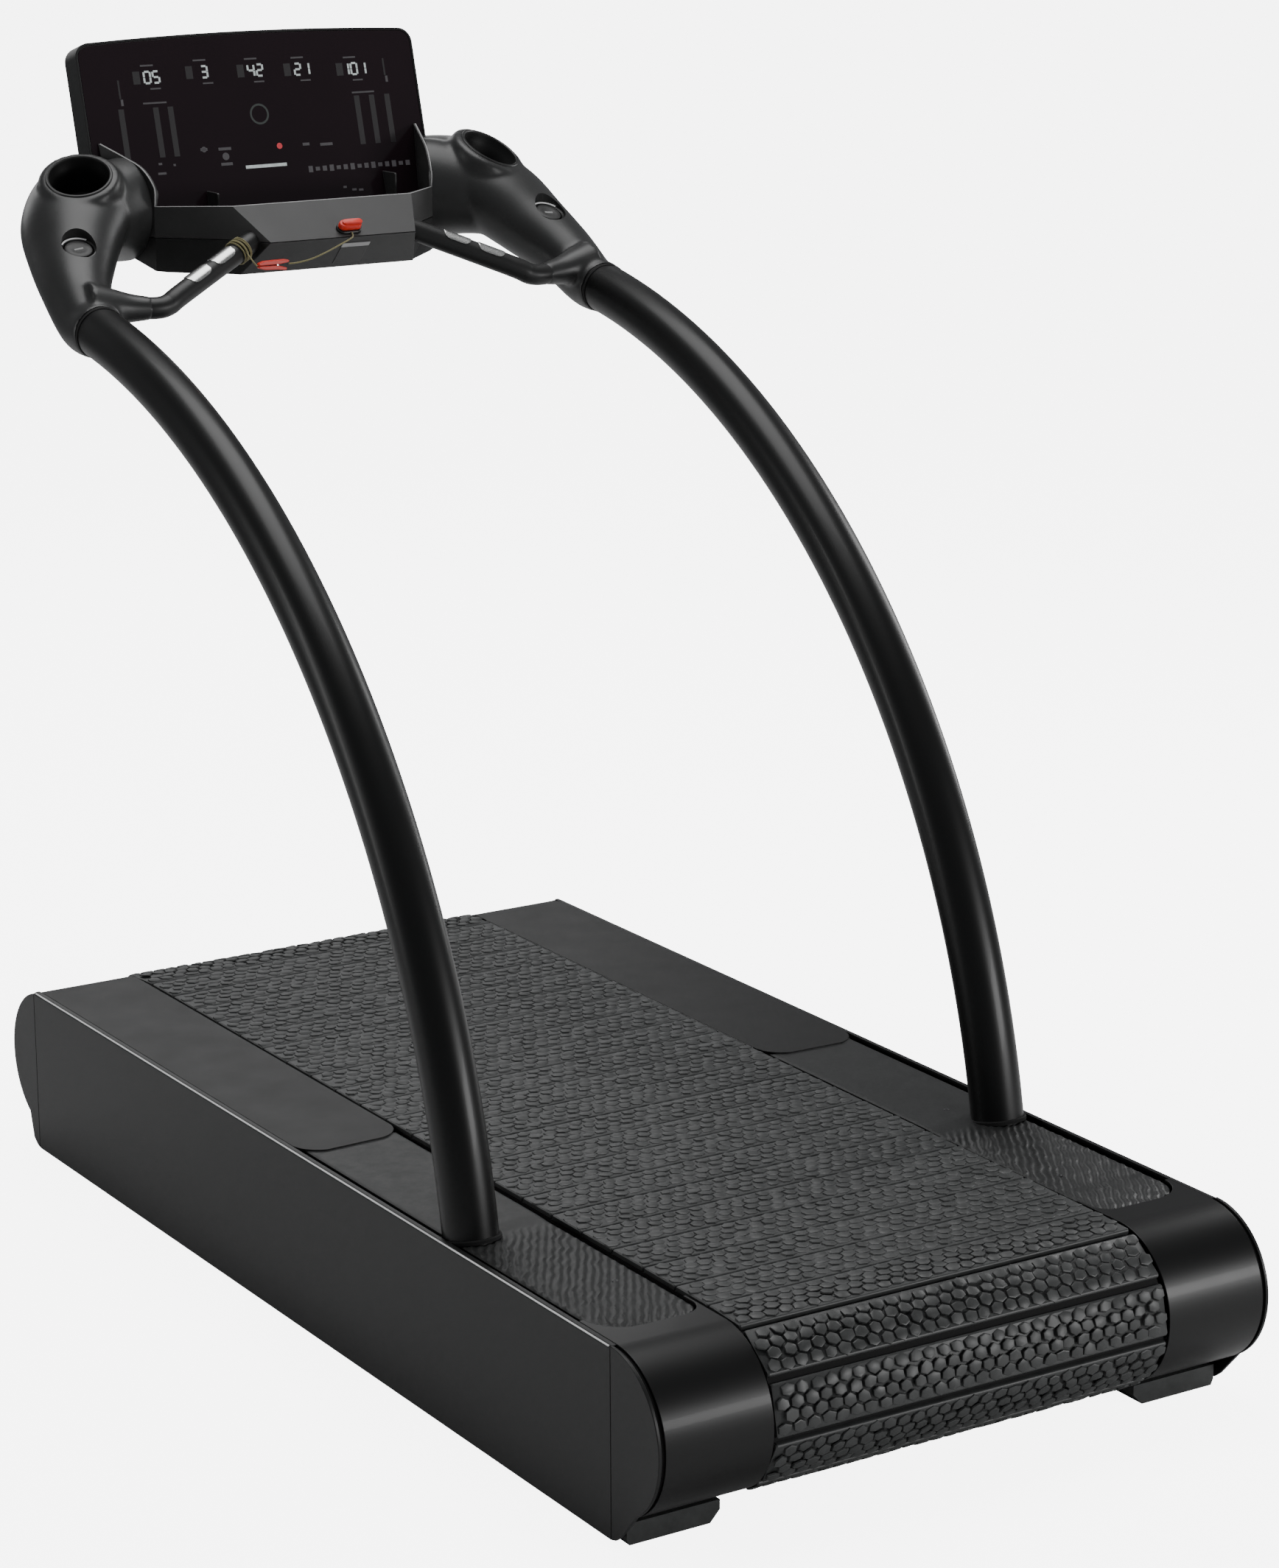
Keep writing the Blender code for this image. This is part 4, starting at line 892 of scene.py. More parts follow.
def running_belt():
    """Every slat of the running belt, with its moulded pebbles, bent round the two drums."""
    pitch = (belt_length() - math.tau * NEUTRAL_DEPTH) / SLAT_COUNT
    half = (pitch - SLAT_GAP) / 2
    section = slat_section(half)
    count, reach, chamfer = len(section), BELT_HALF_WIDTH, 0.0012
    side_margin, end_margin = 0.006, 0.004
    row_pitch = (2 * half - 2 * end_margin) / PEBBLE_ROWS
    column_pitch = (2 * reach - 2 * side_margin) / PEBBLE_COLUMNS
    draw = random.Random(11)
    points, faces = [], []

    def add(across, along, height, start):
        spot, out = loop_place(start + along, 0.0)
        spot = spot + out * (height - sink - abs(tilt) + tilt * along / half)
        points.append((across, spot.x, spot.y))

    def wall(first, sides, levels):
        for level in range(levels):
            for k in range(sides):
                a, b = first + level * sides + k, first + level * sides + (k + 1) % sides
                faces.append((a, b, b + sides, a + sides))

    for slat in range(SLAT_COUNT):
        sink, tilt = draw.uniform(0, 0.0005), draw.uniform(-0.0003, 0.0003)
        middle = outer_distance((slat + SLAT_PHASE) * pitch)
        base = len(points)
        for across in (-reach, -reach + 0.002, reach - 0.002, reach):
            inset = chamfer if abs(across) == reach else 0.0
            for along, height in section:
                drop = inset if height > -SLAT_T else -inset
                add(across, along * (1 - inset / half), height - drop, middle)
        wall(base, count, 3)
        faces += [tuple(range(base, base + count)), tuple(range(base + 3 * count, base + 4 * count))]
        for row in range(PEBBLE_ROWS):
            shift = 0.25 if row % 2 else -0.25
            for column in range(PEBBLE_COLUMNS):
                across = -reach + side_margin + column_pitch * (column + 0.5 + shift)
                across += draw.uniform(-0.0012, 0.0012)
                along = -half + end_margin + row_pitch * (row + 0.5) + draw.uniform(-0.0010, 0.0010)
                first = len(points)
                for ring in pebble((across, along), column_pitch * 0.520, row_pitch * 0.585, draw):
                    for spot in ring:
                        add(*spot, middle)
                wall(first, PEBBLE_SIDES, 2)
                low_ring = range(first, first + PEBBLE_SIDES)
                faces += [tuple(k + 2 * PEBBLE_SIDES for k in low_ring), tuple(reversed(low_ring))]
    belt = shape("belt_slats", points, faces)
    shade(belt, 28)
    put(belt, "black_rubber", "base", ["slat_belt"])


def belt_carrier():
    """The dark band inside the slats, which closes the gaps between them: painted shade in place of the
    shadowed drum that would show between the slats.
    """
    steps, reach, top, bottom = 220, BELT_HALF_WIDTH - 0.0003, -0.0098, -0.0122
    points, faces = [], []
    for i in range(steps):
        for across, depth in ((-reach, top), (reach, top), (reach, bottom), (-reach, bottom)):
            spot = loop_place(belt_length() * i / steps, depth)[0]
            points.append((across, spot.x, spot.y))
        following = (i + 1) % steps * 4
        for k in range(4):
            m = (k + 1) % 4
            faces.append((i * 4 + k, i * 4 + m, following + m, following + k))
    put(shape("belt_carrier", points, faces), "dark_rubber")


# ---------------------------------------------------------------- posts and arms

def post_point(distance):
    """(y, z) at a distance along the post, by short straight steps of a slowly tightening arc."""
    y, z = POST_FOOT
    steps = 60
    for i in range(steps):
        step = distance / steps
        along = (i + 0.5) * step
        lean = POST_LEAN + POST_BEND * along + POST_BEND_GROWTH * along * along / 2
        y += step * math.sin(lean)
        z += step * math.cos(lean)
    return y, z


def post_rings(radius, start, end, count, sides):
    """Rings square to the right post between two distances along it."""
    path = [Vector((POST_X, *post_point(start + (end - start) * i / (count - 1)))) for i in range(count)]
    across = Vector((1, 0, 0))
    rings = []
    for i, centre in enumerate(path):
        upward = across.cross(heading(path, i))
        rings.append([centre + radius * (across * math.cos(a) + upward * math.sin(a))
                      for a in round_angles(sides)])
    return rings


def posts(side):
    post = skinned(side_name("post_tube", side), post_rings(POST_R, 0.0, POST_LENGTH, 110, 72), side)
    put(post, "gloss_black_paint", "base", [side_name("post", side)])
    place = (POST_X, post_point(DECK_Z - POST_FOOT[1] + 0.0002)[0], DECK_Z - 0.0014)
    lean = (0, 0.17, 1)
    # A dark ring round the post where it enters the rail: painted shade at the post's foot.
    collar = [(POST_R + 0.0003, -0.006), (POST_R + 0.0034, -0.006), (POST_R + 0.0034, -0.0016),
              (POST_R + 0.0026, -0.0006), (POST_R + 0.0003, -0.0002)]
    put(turned(side_name("post_collar", side), collar, place, lean, 72, side), "dark_rubber")
    low, high = (Vector((POST_X, *post_point(SEAM_LENGTH - d))) for d in (0.0052, 0.0002))
    groove = [(POST_R + 0.0002, -0.0052), (POST_R + 0.0012, -0.0048), (POST_R + 0.0012, -0.0002),
              (POST_R + 0.0002, 0.0002)]
    put(turned(side_name("post_seam_ring", side), groove, high, high - low, 72, side), "dark_rubber")


def face_y(z, out):
    """The y of the plane a little out from the screen's face, at a height."""
    y, top = SCREEN_TOP
    return y - (top - z) * math.tan(SCREEN_TILT) - out / math.cos(SCREEN_TILT)


def console_plan(grow):
    """The console's outline from above, grown sideways and towards the runner."""
    right = [(x + grow, y - (grow if i == 0 else 0.0)) for i, (x, y) in enumerate(CONSOLE_PLAN)]
    right.append((CONSOLE_PLAN[-1][0] + grow, 1.05))
    return [(-x, y) for x, y in right[::-1]] + right


def screen_point(x, up, out):
    """A point from the top middle of the screen face: x across, up along the face, out towards the runner."""
    y, z = SCREEN_TOP
    return (x, y + up * math.sin(SCREEN_TILT) - out * math.cos(SCREEN_TILT),
            z + up * math.cos(SCREEN_TILT) + out * math.sin(SCREEN_TILT))


def rounded_rectangle(half_width, bottom, top, radius, crown=0.0, low=0.012, steps=12):
    """A rectangle with large upper corners, small lower ones and a crowned top edge."""
    low = min(radius, low)
    points = arc((half_width - low, bottom + low), low, -90, 0, 8)
    points += arc((half_width - radius, top - radius), radius, 0, 90, steps)
    spread = [0.9 - 1.8 * k / 12 for k in range(13)]
    points += [((half_width - radius) * t, top + crown * (1 - t * t)) for t in spread]
    points += arc((-half_width + radius, top - radius), radius, 90, 180, steps)
    points += arc((-half_width + low, bottom + low), low, 180, 270, 8)
    return points


def screen_slab(name, outline, low, high):
    """An outline on the screen's face, extruded between two distances out from it."""
    points = [screen_point(x, up, out) for out in (low, high) for x, up in outline]
    count = len(outline)
    faces = [(i, (i + 1) % count, count + (i + 1) % count, count + i) for i in range(count)]
    return shape(name, points, faces + [tuple(range(count)), tuple(range(count, 2 * count))])


def arm_body():
    """The right arm's outer skin: a swelling tube that runs into the console, melted into one smooth body."""
    path = [(POST_X, *post_point(SEAM_LENGTH)), (POST_X, *post_point(SEAM_LENGTH + 0.045)),
            (0.424, 0.700, 1.378), (0.402, 0.758, 1.416), (0.374, 0.813, 1.456), (0.333, 0.865, 1.490),
            (0.296, 0.905, 1.508), (0.262, 0.930, 1.520)]
    radii = [(0.0405, 0.0405), (0.0430, 0.0420), (0.0520, 0.0460), (0.0660, 0.0540), (0.0800, 0.0620),
             (0.0820, 0.0600), (0.0660, 0.0480), (0.0340, 0.0300)]
    arm = swept("arm", path, radii, 6, 56)
    bridge_path = [(0.374, 0.800, 1.445), (0.322, 0.836, 1.466), (0.280, 0.862, 1.474), (0.236, 0.882, 1.476)]
    bridge_radii = [(0.050, 0.048), (0.062, 0.068), (0.066, 0.078), (0.066, 0.080)]
    bridge = swept("bridge", bridge_path, bridge_radii, 5, 40)
    root_path = [(0.436, 0.640, 1.367), (0.402, 0.635, 1.363), (0.372, 0.629, 1.360), (0.338, 0.621, 1.358)]
    root_radii = [(0.036, 0.036), (0.029, 0.029), (0.022, 0.022), (0.0172, 0.0172)]
    grip_root = swept("root", root_path, root_radii, 5, 32)
    collar_profile = [(0, -0.060), (0.066, -0.060), (0.0685, -0.035), (0.0655, -0.012), (0.0625, 0.004),
                      (0.0600, 0.0085), (0.0560, 0.0105), (0, 0.0105)]
    collar = turned("collar", collar_profile, CUP_CENTRE, CUP_AXIS, 64)
    body = joined("arm_casing_body", [arm, bridge, grip_root, collar])
    melt = body.modifiers.new("melt", "REMESH")
    melt.mode = "VOXEL"
    melt.voxel_size = 0.0034
    melt.use_smooth_shade = True
    relax = body.modifiers.new("relax", "SMOOTH")
    relax.factor = 0.5
    relax.iterations = 14
    return frozen(body)


def arm_cuts(body):
    """Takes the console, the screen housing, the cup well, the post and the switch recess out of an arm."""
    combined(body, prism("plan", console_plan(CLEAR), 1.25, 1.75, "z"))
    combined(body, screen_slab("slab", housing_outline(-CLEAR, 0.0), -HOUSING_DEPTH - CLEAR, 0.001))
    well = [(0, -CUP_DEPTH - 0.004), (CUP_R + 0.0005, -CUP_DEPTH - 0.004), (CUP_R + 0.0026, 0.06), (0, 0.06)]
    combined(body, turned("well", well, CUP_CENTRE, CUP_AXIS))
    socket = post_rings(POST_R + 0.0008, SEAM_LENGTH - 0.02, POST_LENGTH + 0.003, 4, 48)
    combined(body, skinned("socket", socket))
    recess = [(0, -0.008), (0.0255, -0.008), (0.0265, 0.04), (0, 0.04)]
    combined(body, turned("recess", recess, ROCKER_CENTRE, ROCKER_NORMAL, squeeze=1.12))
    return body


def arms():
    right = arm_cuts(arm_body())
    right.name = "arm_casing_right_skin"
    left = mirror_copy(right, "arm_casing_left_skin")
    put(right, "arm_plastic", "base", ["arm_casing_right"])
    put(left, "arm_plastic", "base", ["arm_casing_left"])


def cups(side):
    depth = CUP_DEPTH
    wall = [(0, -depth), (CUP_R - 0.008, -depth), (CUP_R - 0.003, -depth + 0.0016), (CUP_R, -depth + 0.006),
            (CUP_R + 0.0006, 0.0080), (CUP_R + 0.0034, 0.0094), (CUP_R + 0.0040, 0.0110),
            (CUP_R + 0.0028, 0.0124), (CUP_R + 0.0004, 0.0126), (CUP_R - 0.0012, 0.0114),
            (CUP_R - 0.0020, 0.0080)]
    inside = [(CUP_R - 0.0024, -0.004), (CUP_R - 0.0030, -0.005), (CUP_R - 0.0034, -depth + 0.009),
              (CUP_R - 0.0080, -depth + 0.0035), (0.018, -depth + 0.003), (0.016, -depth + 0.0042),
              (0, -depth + 0.0042)]
    liner = turned(side_name("cup_well", side), wall + inside, CUP_CENTRE, CUP_AXIS, 96, side)
    put(liner, "moulded_black", "base", [side_name("cup_liner", side)])


def switches(side):
    """The rocker paddle with its bar, in a ring with an upper lip; the lip and the bar are pale, as painted
    highlights.
    """
    body = "speed_rocker" if side > 0 else "incline_rocker"
    profile = [(0, -0.0065), (0.0205, -0.0065), (0.0213, -0.0030), (0.0213, 0.0006), (0.0203, 0.0026),
               (0.0175, 0.0040), (0.0110, 0.0032), (0.0050, 0.0016), (0, 0.0014)]
    paddle = turned(side_name("rocker_paddle", side), profile, ROCKER_CENTRE, ROCKER_NORMAL, 64, side)
    put(paddle, "moulded_grey", body, [side_name("rocker", side)])
    ring = [(0.0226, -0.0060), (0.0262, -0.0060), (0.0282, 0.0006), (0.0276, 0.0030), (0.0252, 0.0036),
            (0.0232, 0.0016)]
    trim = turned(side_name("rocker_ring", side), ring, ROCKER_CENTRE, ROCKER_NORMAL, 64, side)
    put(trim, "arm_plastic")
    up = (Vector((0, 1, 0)) - ROCKER_NORMAL * ROCKER_NORMAL.y).normalized()
    across = up.cross(ROCKER_NORMAL)
    # The lip and the bar below are pale strips: painted highlights.
    lip = [ROCKER_CENTRE + ROCKER_NORMAL * 0.0034 + across * x + up * y
           for x, y in arc((0, 0), 0.0255, 38, 142, 18)]
    put(tube(side_name("rocker_lip", side), lip, 0.0013, 10, side), "edge_bright")
    bar = [ROCKER_CENTRE + ROCKER_NORMAL * 0.0014 + across * (0.0018 * k) for k in range(-4, 5)]
    put(tube(side_name("rocker_bar", side), bar, 0.0018, 12, side), "edge_grey", body)


def grips(side):
    """A grip bar with its two steel pulse contacts."""
    path = smooth_path(GRIP_PATH, 10)
    rings = sections_along(path, [(GRIP_R, GRIP_R)] * len(path), 40)
    bar = skinned(side_name("grip_tube", side), rings, side)
    put(bar, "moulded_black", "base", [side_name("grip_bar", side)])
    start, end = Vector(GRIP_PATH[4]), Vector(GRIP_PATH[5])
    ahead = (end - start).normalized()
    level = ahead.cross(UP).normalized()
    upward = level.cross(ahead)
    rows, columns = 26, 14
    middle, half_angle = 100, 52
    sleeves = []
    for k, (low, high) in enumerate(((0.12, 0.44), (0.52, 0.84))):
        rings = []
        for i in range(rows + 1):
            spread = half_angle * math.sqrt(max(0.0, 1 - abs(2 * i / rows - 1) ** 5)) + 1
            angles = [math.radians(middle - spread + 2 * spread * j / columns) for j in range(columns + 1)]
            rim = [(GRIP_R + 0.0013, a) for a in angles] + [(GRIP_R - 0.0006, a) for a in angles[::-1]]
            centre = start.lerp(end, low + (high - low) * i / rows)
            rings.append([centre + r * (level * math.cos(a) + upward * math.sin(a)) for r, a in rim])
        sleeves.append(skinned(f"sleeve_{k}", rings, side))
    pads = joined(side_name("pulse_sleeves", side), sleeves)
    put(pads, "steel", "base", [side_name("contact_pad", side)])


# ---------------------------------------------------------------- console

def housing_outline(inset, corner_cut):
    """The screen housing's outline, drawn in by an inset."""
    return rounded_rectangle(HOUSING_HALF_WIDTH - inset, -HOUSING_HEIGHT + inset, -inset,
                             HOUSING_CORNER - corner_cut, CROWN)


def housing():
    """The screen's shell with its rear vents and screws, and the glass."""
    shell = screen_slab("screen_housing", housing_outline(0.0, 0.0), -HOUSING_DEPTH, 0.0)
    wall, edge = HOUSING_WALL, HOUSING_WALL + CLEAR
    combined(shell, screen_slab("hollow", housing_outline(wall, wall), -HOUSING_DEPTH + wall, 0.02))
    rows, columns, pitch_x, pitch_up = 3, 16, 0.020, 0.016
    vents = []
    for row in range(rows):
        for column in range(columns):
            x, up = -0.150 + pitch_x * column, -0.060 - pitch_up * row
            slot = rounded_rectangle(0.0070, up - 0.0022, up + 0.0022, 0.0021, low=0.0021, steps=4)
            slot = [(x + a, b) for a, b in slot]
            vents.append(screen_slab("vent", slot, -HOUSING_DEPTH - 0.01, -HOUSING_DEPTH + 0.002))
    combined(shell, joined("vents", vents))
    rounded(shell, 0.0016, 3)
    put(shell, "moulded_charcoal", "base", ["console_housing"])
    back = Vector(screen_point(0, 0, -1)) - Vector(screen_point(0, 0, 0))
    for k, (x, up) in enumerate(((-0.27, -0.03), (0.27, -0.03), (-0.27, -0.26), (0.27, -0.26), (0.0, -0.26))):
        spot = Vector(screen_point(x, up, -HOUSING_DEPTH - 0.0001))
        screw(f"housing_screw_{k}", spot, back, 0.0040)
    glass = screen_slab("screen_glass", housing_outline(edge, edge), -0.004, -CLEAR)
    rounded(glass, 0.0005, 2)
    put(glass, "black_screen", "base", ["screen_lens"])


def mark(outline):
    """One printed or lit mark on the screen, as a thin plate just proud of the glass."""
    return screen_slab("mark", outline, MARK_LOW, MARK_HIGH)


def dot_mark(x, up, radius, steps):
    return mark(arc((x, up), radius, 0, 360, steps)[:-1])


def bar_mark(x, up, width, height, slant=0.0):
    return mark([(x - width / 2, up - height / 2), (x + width / 2, up - height / 2 + slant),
                 (x + width / 2, up + height / 2 + slant), (x - width / 2, up + height / 2)])


SEGMENTS = {"0": "abcdef", "1": "bc", "2": "abged", "3": "abgcd", "4": "fgbc", "5": "afgcd", "6": "afgedc",
            "7": "abc", "8": "abcdefg", "9": "abcdfg"}


def digit_marks(text, x, up, height):
    """Seven-segment digits, centred on a place."""
    width, step = height * 0.5, height * 0.72
    thick = height * 0.15
    marks = []
    left = x - step * (len(text) - 1) / 2
    for k, letter in enumerate(text):
        cx = left + k * step
        places = {"a": (0, 1, True), "g": (0, 0, True), "d": (0, -1, True), "f": (-1, 0.5, False),
                  "b": (1, 0.5, False), "e": (-1, -0.5, False), "c": (1, -0.5, False)}
        for segment in SEGMENTS[letter]:
            sx, sy, level = places[segment]
            spot = (cx + sx * width / 2, up + sy * (height - thick) / 2)
            size = (width * 0.72, thick) if level else (thick, height / 2 * 0.76)
            marks.append(bar_mark(*spot, *size))
    return marks


def light_up(name, marks, finish):
    obj = joined(name, marks)
    obj.data.materials.append(finish)
    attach(obj, "base")
    return obj


def ring_mark(x, up, radius, thick):
    n, faces = 40, []
    outer, inner = (arc((x, up), r, 0, 360, n)[:-1] for r in (radius, radius - thick))
    points = [screen_point(a, b, out) for out in (MARK_LOW, MARK_HIGH) for a, b in outer + inner]
    for i in range(n):
        j = (i + 1) % n
        faces += [(a + i, a + j, b + j, b + i) for a, b in ((0, n), (2 * n, 3 * n), (0, 2 * n), (n, 3 * n))]
    return shape("ring", points, faces)


def display():
    """Generic readouts, icons and scales, lit just proud of the glass."""
    bright, dim, faint = [], [], []
    for text, x, up in (("05", -0.172, -0.058), ("3", -0.081, -0.054), ("42", 0.008, -0.056),
                        ("21", 0.090, -0.058), ("101", 0.183, -0.062)):
        bright += digit_marks(text, x, up, 0.021)
        faint.append(bar_mark(x - 0.026, up, 0.012, 0.020))
        dim.append(bar_mark(x - 0.006, up + 0.0185, 0.022, 0.0026))
        dim.append(bar_mark(x + 0.004, up - 0.0180, 0.018, 0.0024))
    bright.append(bar_mark(0.003, -0.2070, 0.072, 0.0050, 0.0005))
    for x, up, width in ((-0.101, -0.175, 0.012), (-0.065, -0.176, 0.022), (-0.065, -0.200, 0.020),
                         (0.078, -0.177, 0.012), (0.114, -0.179, 0.022)):
        dim.append(bar_mark(x, up, width, 0.0045))
    dim += [dot_mark(-0.065, -0.188, 0.0060, 14), dot_mark(-0.101, -0.175, 0.0045, 12)]
    for k in range(15):
        x = 0.080 + 0.0125 * k
        high = (0.010, 0.006, 0.008)[k % 3]
        dim.append(bar_mark(x, -0.217, 0.0075, high))
    for x, up, width in ((0.136, -0.249, 0.006), (0.152, -0.254, 0.008), (0.164, -0.255, 0.008),
                         (-0.179, -0.193, 0.006), (-0.178, -0.208, 0.014), (-0.155, -0.196, 0.004)):
        dim.append(bar_mark(x, up, width, 0.0035))
    for x, top, bottom in ((-0.230, -0.060, -0.089), (0.237, -0.048, -0.075)):
        faint.append(bar_mark(x, (top + bottom) / 2, 0.0030, top - bottom))
        dim.append(bar_mark(x + 0.002, bottom - 0.006, 0.0042, 0.010))
    dim += [bar_mark(-0.173, -0.098, 0.040, 0.0026), bar_mark(0.193, -0.100, 0.040, 0.0026)]
    for x in (-0.232, -0.173, -0.148, 0.180, 0.207, 0.235):
        faint.append(bar_mark(x, -0.144, 0.0095, 0.078))
    light_up("readout_digits", bright, WHITE_GLOW)
    light_up("readout_icons", dim, DIM_GLOW)
    light_up("readout_scales", faint, FAINT_GLOW)
    light_up("readout_ring", [ring_mark(0.004, -0.125, 0.0165, 0.0032)], GREEN_GLOW)
    light_up("record_dot", [dot_mark(0.031, -0.177, 0.0048, 20)], RED_GLOW)


def tray():
    """The sloping front band and the walled pocket behind it, with its dividers and rubber mat."""
    bottom = NOSE[1] + CLEAR
    top_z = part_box("console_tray")[1].z
    curve = [(p[0], p[1]) for p in smooth_path([(face_y(top_z, 0.001), top_z), *TRAY_SIDE], 6)]
    profile = [(NOSE[0], bottom), (face_y(bottom, 0.001), bottom), *curve, BAND_TOP]
    body = prism("tray_shell", profile, -0.33, 0.33, "x")
    combined(body, prism("plan", console_plan(0.0), 1.30, 1.70, "z"), "INTERSECT")
    inner = [(x - math.copysign(TRAY_WALL, x), y) for x, y in console_plan(0.0)]
    inner = [p for p in inner if p[1] > BAND_TOP[0] - 0.001]
    lift = [(x, y + (0.008 if y < BAND_TOP[0] + 0.001 else 0.0)) for x, y in inner]
    combined(body, prism("pocket", lift, NOSE[1] + 0.006, 1.70, "z"))
    rounded(body, 0.0016, 3, 25)
    put(body, "moulded_grey", "base", ["console_tray"])
    front = [(x * 0.985, y + 0.001) for x, y in lift if y < MAT_FAR_Y]
    right = sorted((p for p in front if p[0] > 0), key=lambda p: p[1])
    left = [(-x, y) for x, y in right[::-1]]
    plan = [*right, (right[-1][0] + 0.004, MAT_FAR_Y), (-right[-1][0] - 0.004, MAT_FAR_Y), *left]
    mat = prism("tray_mat", plan, NOSE[1] + 0.0062, NOSE[1] + 0.0080, "z")
    put(rounded(mat, 0.0005, 2), "black_rubber")
    for k, (x, top) in enumerate(((-0.107, 1.491), (0.207, 1.503))):
        outline = [(0.856, NOSE[1] + 0.007), (face_y(NOSE[1], 0.002), NOSE[1] + 0.007),
                   (face_y(top, 0.002), top), (0.858, top), (0.856, top - 0.002)]
        divider = prism(f"tray_divider_{k}", outline, x - 0.0017, x + 0.0017, "x")
        put(rounded(divider, 0.0008, 2), "moulded_grey")
    # A pale tube along the top edges of the fins and the band: a painted highlight line.
    inset = 0.0016
    fins = []
    for y, z in smooth_path([(face_y(top_z, 0.004), top_z), *TRAY_SIDE], 6):
        share = max(0.0, (y - CONSOLE_PLAN[2][1]) / (CONSOLE_PLAN[3][1] - CONSOLE_PLAN[2][1]))
        x = CONSOLE_PLAN[2][0] + share * (CONSOLE_PLAN[3][0] - CONSOLE_PLAN[2][0])
        fins.append(Vector((x - inset, y + 0.0006, z - 0.0008)))
    front = Vector((CONSOLE_PLAN[1][0] - 0.0008, BAND_TOP[0] + inset, BAND_TOP[1] - 0.0006))
    right = fins + [fins[-1].lerp(front, t) for t in (0.25, 0.5, 0.75, 1.0)]
    across = [Vector((front.x * t, front.y, front.z)) for t in (0.75, 0.4, 0.0)]
    left = [Vector((-p.x, p.y, p.z)) for p in (right + across[:2])[::-1]]
    put(tube("tray_edge_trim", right + across + left, 0.0014, 10), "edge_grey")


def lower_shell():
    """The console's underside, with a blank plate below the key."""
    top = NOSE[1] - CLEAR
    hump = [(NOSE[0] + 0.0005, top), BELLY_BOTTOM, (0.716, BELLY_BOTTOM[1]), (0.790, BELLY_BOTTOM[1]),
            (0.804, 1.3858), (0.868, 1.408)]
    body = prism("console_belly", [*hump, (0.868, top)], -0.33, 0.33, "x")
    combined(body, prism("plan", console_plan(0.0), 1.30, 1.70, "z"), "INTERSECT")
    rounded(body, 0.0030, 4, 25)
    put(body, "moulded_black", "base", ["lower_cover"])
    face_top, face_bottom = Vector((0.0, NOSE[0] + 0.0005, top)), Vector((0.0, *BELLY_BOTTOM))
    start, end = face_top.lerp(face_bottom, 0.20), face_top.lerp(face_bottom, 0.86)
    rise = (start - end).normalized()
    out = Vector((1, 0, 0)).cross(rise)
    face, band, half = (start - end).length, 0.009, 0.024
    faces = [(0, 1, 5, 4), (1, 2, 6, 5), (2, 3, 7, 6), (3, 0, 4, 7), (0, 1, 2, 3), (4, 5, 6, 7)]
    for name, low, high, lift, finish in (("blank_plate", 0.0, face - band, 0.0008, "moulded_grey"),
                                          ("blank_plate_band", face - band, face, 0.0012, "edge_grey")):
        outline = [(-half, low), (half, low), (half, high), (-half, high)]
        points = [end + Vector((0.028 + x, 0, 0)) + rise * z + out * o
                  for o in (-0.004, lift) for x, z in outline]
        put(rounded(shape(name, points, faces), 0.0006, 2), finish)


def band_point(x, up, out):
    return KEY_PLACE + Vector((x, 0, 0)) + BAND_RISE * up + BAND_OUT * out


def band_piece(name, rings):
    """A skin over rings of (x, up) outlines at rising heights off the band."""
    return skinned(name, [[band_point(x, up, out) for x, up in outline] for outline, out in rings])


def stadium(half_length, radius, steps=12):
    return arc((half_length, 0), radius, -90, 90, steps) + arc((-half_length, 0), radius, 90, 270, steps)


def pull_key():
    """The red safety key with its wing, in its socket."""
    socket = band_piece("key_cradle", [(stadium(0.010, 0.0110), 0.0006), (stadium(0.010, 0.0110), 0.0026),
                                       (stadium(0.010, 0.0098), 0.0040)])
    put(socket, "moulded_black", "base", ["key_socket"])
    levels = [(stadium(half, radius), out) for half, radius, out in
              ((0.0108, 0.0072, 0.0045), (0.0110, 0.0080, 0.0058), (0.0110, 0.0080, 0.0105),
               (0.0106, 0.0072, 0.0130), (0.0092, 0.0052, 0.0140))]
    put(band_piece("pull_key", levels), "red_plastic", "key", ["safety_key"])
    levels = [([(x * size + 0.002, up * size) for x, up in stadium(0.012, 0.0048)], out)
              for size, out in ((0.9, 0.0125), (1.0, 0.0135), (1.0, 0.0165), (0.85, 0.0176))]
    put(band_piece("pull_key_wing", levels), "red_plastic", "key")


# ---------------------------------------------------------------- inside and feet

def rack_teeth(side):
    """The teeth on a front foot's rack."""
    low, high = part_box(side_name("elevation_rack", side))
    middle, half = (low.x + high.x) / 2, 0.0095
    count, pitch, root_y, tip_y = 26, 0.006, 0.6478, 0.6497
    teeth = []
    for k in range(count):
        z = 0.045 + pitch * k
        tooth = [(root_y, z - 0.0016), (tip_y, z - 0.0008), (tip_y, z + 0.0008), (root_y, z + 0.0016)]
        teeth.append(prism(f"tooth_{k}", tooth, middle - half, middle + half, "x"))
    put(joined(side_name("rack_teeth", side), teeth), "steel", side_name("elevation_foot", side))


def finish_frame():
    """Every CAD node that still shows takes its finish from FRAME_FINISHES."""
    finish_of = {node: finish for finish, nodes in FRAME_FINISHES.items() for node in nodes}
    for name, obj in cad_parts.items():
        if not obj.hide_render:
            base = name.replace("_left", "").replace("_right", "")
            obj.data.materials.clear()
            obj.data.materials.append(FINISHES[finish_of.get(base, "frame_steel")])


# ---------------------------------------------------------------- stage

def area_light(name, place, target, size, power):
    data = bpy.data.lights.new(name, "AREA")
    data.shape = "RECTANGLE"
    data.size, data.size_y = size
    data.energy = power
    light = bpy.data.objects.new(name, data)
    bpy.context.scene.collection.objects.link(light)
    light.location = place
    light.rotation_euler = (Vector(target) - Vector(place)).to_track_quat("-Z", "Y").to_euler()


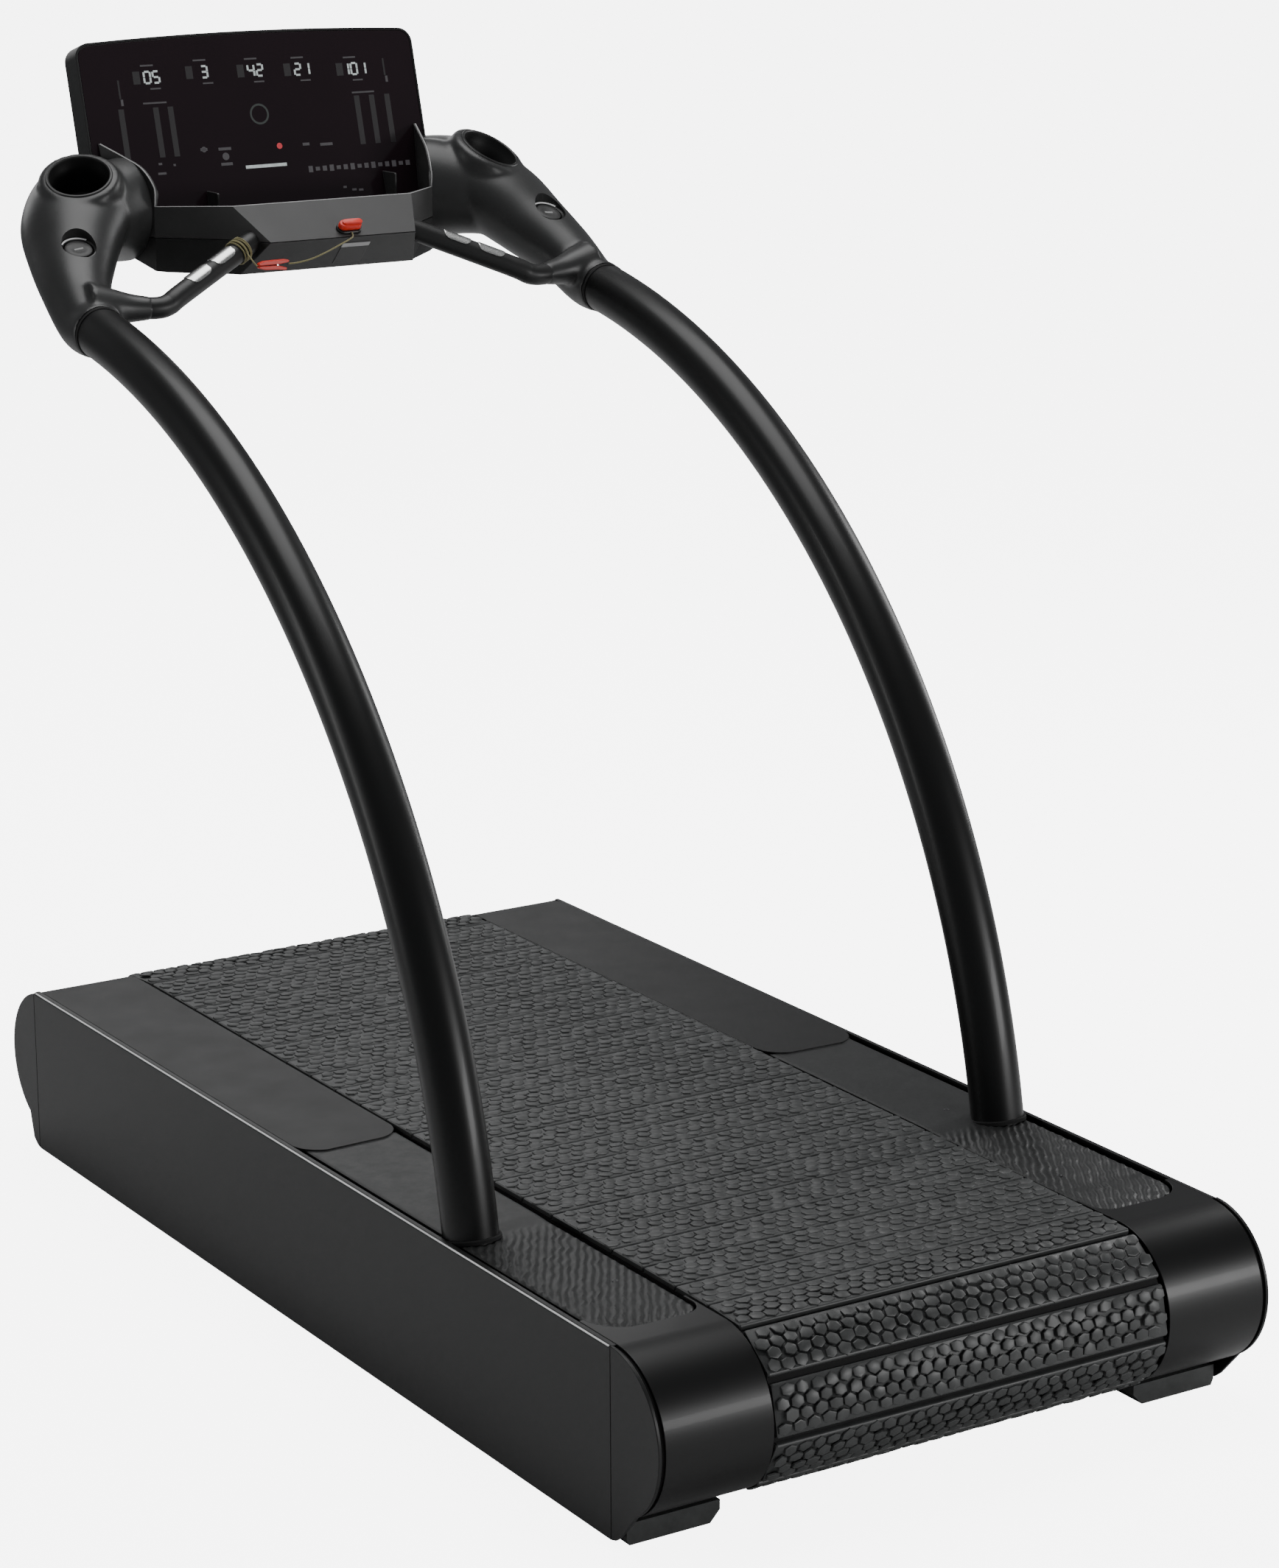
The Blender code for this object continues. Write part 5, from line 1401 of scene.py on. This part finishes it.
def studio():
    """A plain pale floor that runs to the horizon, a pale room and soft boxes."""
    bpy.ops.mesh.primitive_plane_add(size=160, location=(0, 0, -0.0005))
    floor = bpy.context.object
    floor.name = "studio_floor"
    made, tree, shader = node_tree("pale_floor")
    cloud = texture(tree, "ShaderNodeTexNoise", 0.8, Detail=2.0)
    blend_colours(tree, shader, cloud.outputs["Fac"], (0.86, 0.86, 0.86), (0.90, 0.90, 0.90))
    shader.inputs["Roughness"].default_value = 0.9
    shader.inputs["Emission Color"].default_value = (1, 1, 1, 1)
    seen = tree.nodes.new("ShaderNodeLightPath")
    level = tree.nodes.new("ShaderNodeMath")
    level.operation = "MULTIPLY"
    level.inputs[1].default_value = 6.0
    tree.links.new(seen.outputs["Is Camera Ray"], level.inputs[0])
    tree.links.new(level.outputs["Value"], shader.inputs["Emission Strength"])
    floor.data.materials.append(made)
    world = bpy.data.worlds.new("pale_room")
    world.use_nodes = True
    tree = world.node_tree
    room = tree.nodes["Background"]
    room.inputs["Color"].default_value = (0.95, 0.97, 1.0, 1)
    room.inputs["Strength"].default_value = 0.19
    backdrop = tree.nodes.new("ShaderNodeBackground")
    backdrop.inputs["Strength"].default_value = 6.5
    path = tree.nodes.new("ShaderNodeLightPath")
    mix = tree.nodes.new("ShaderNodeMixShader")
    tree.links.new(path.outputs["Is Camera Ray"], mix.inputs["Fac"])
    tree.links.new(room.outputs["Background"], mix.inputs[1])
    tree.links.new(backdrop.outputs["Background"], mix.inputs[2])
    tree.links.new(mix.outputs["Shader"], tree.nodes["World Output"].inputs["Surface"])
    bpy.context.scene.world = world
    area_light("top_box", (0.3, 0.6, 4.4), (0.1, 0, 0.5), (2.6, 3.0), 120)
    area_light("key_box", (2.9, -4.7, 1.35), (0, 0, 0.6), (2.4, 0.9), 130)
    area_light("front_box", (0.8, 5.3, 2.6), (0, 0, 0.6), (5.0, 1.6), 45)
    area_light("right_strip", (4.0, 0.8, 2.0), (0.2, 0, 0.8), (0.8, 2.6), 50)
    area_light("left_strip", (-4.4, 1.4, 1.9), (0, 0, 0.8), (0.6, 2.6), 40)


def main():
    add_camera()
    add_cords()
    for side in (-1, 1):
        for build in (side_panels, end_plates, end_covers, foot_rails, deck_screws, posts, cups, switches,
                      grips, rack_teeth):
            build(side)
    for build in (running_belt, belt_carrier, arms, housing, display, tray, lower_shell, pull_key,
                  finish_frame, studio):
        build()


main()
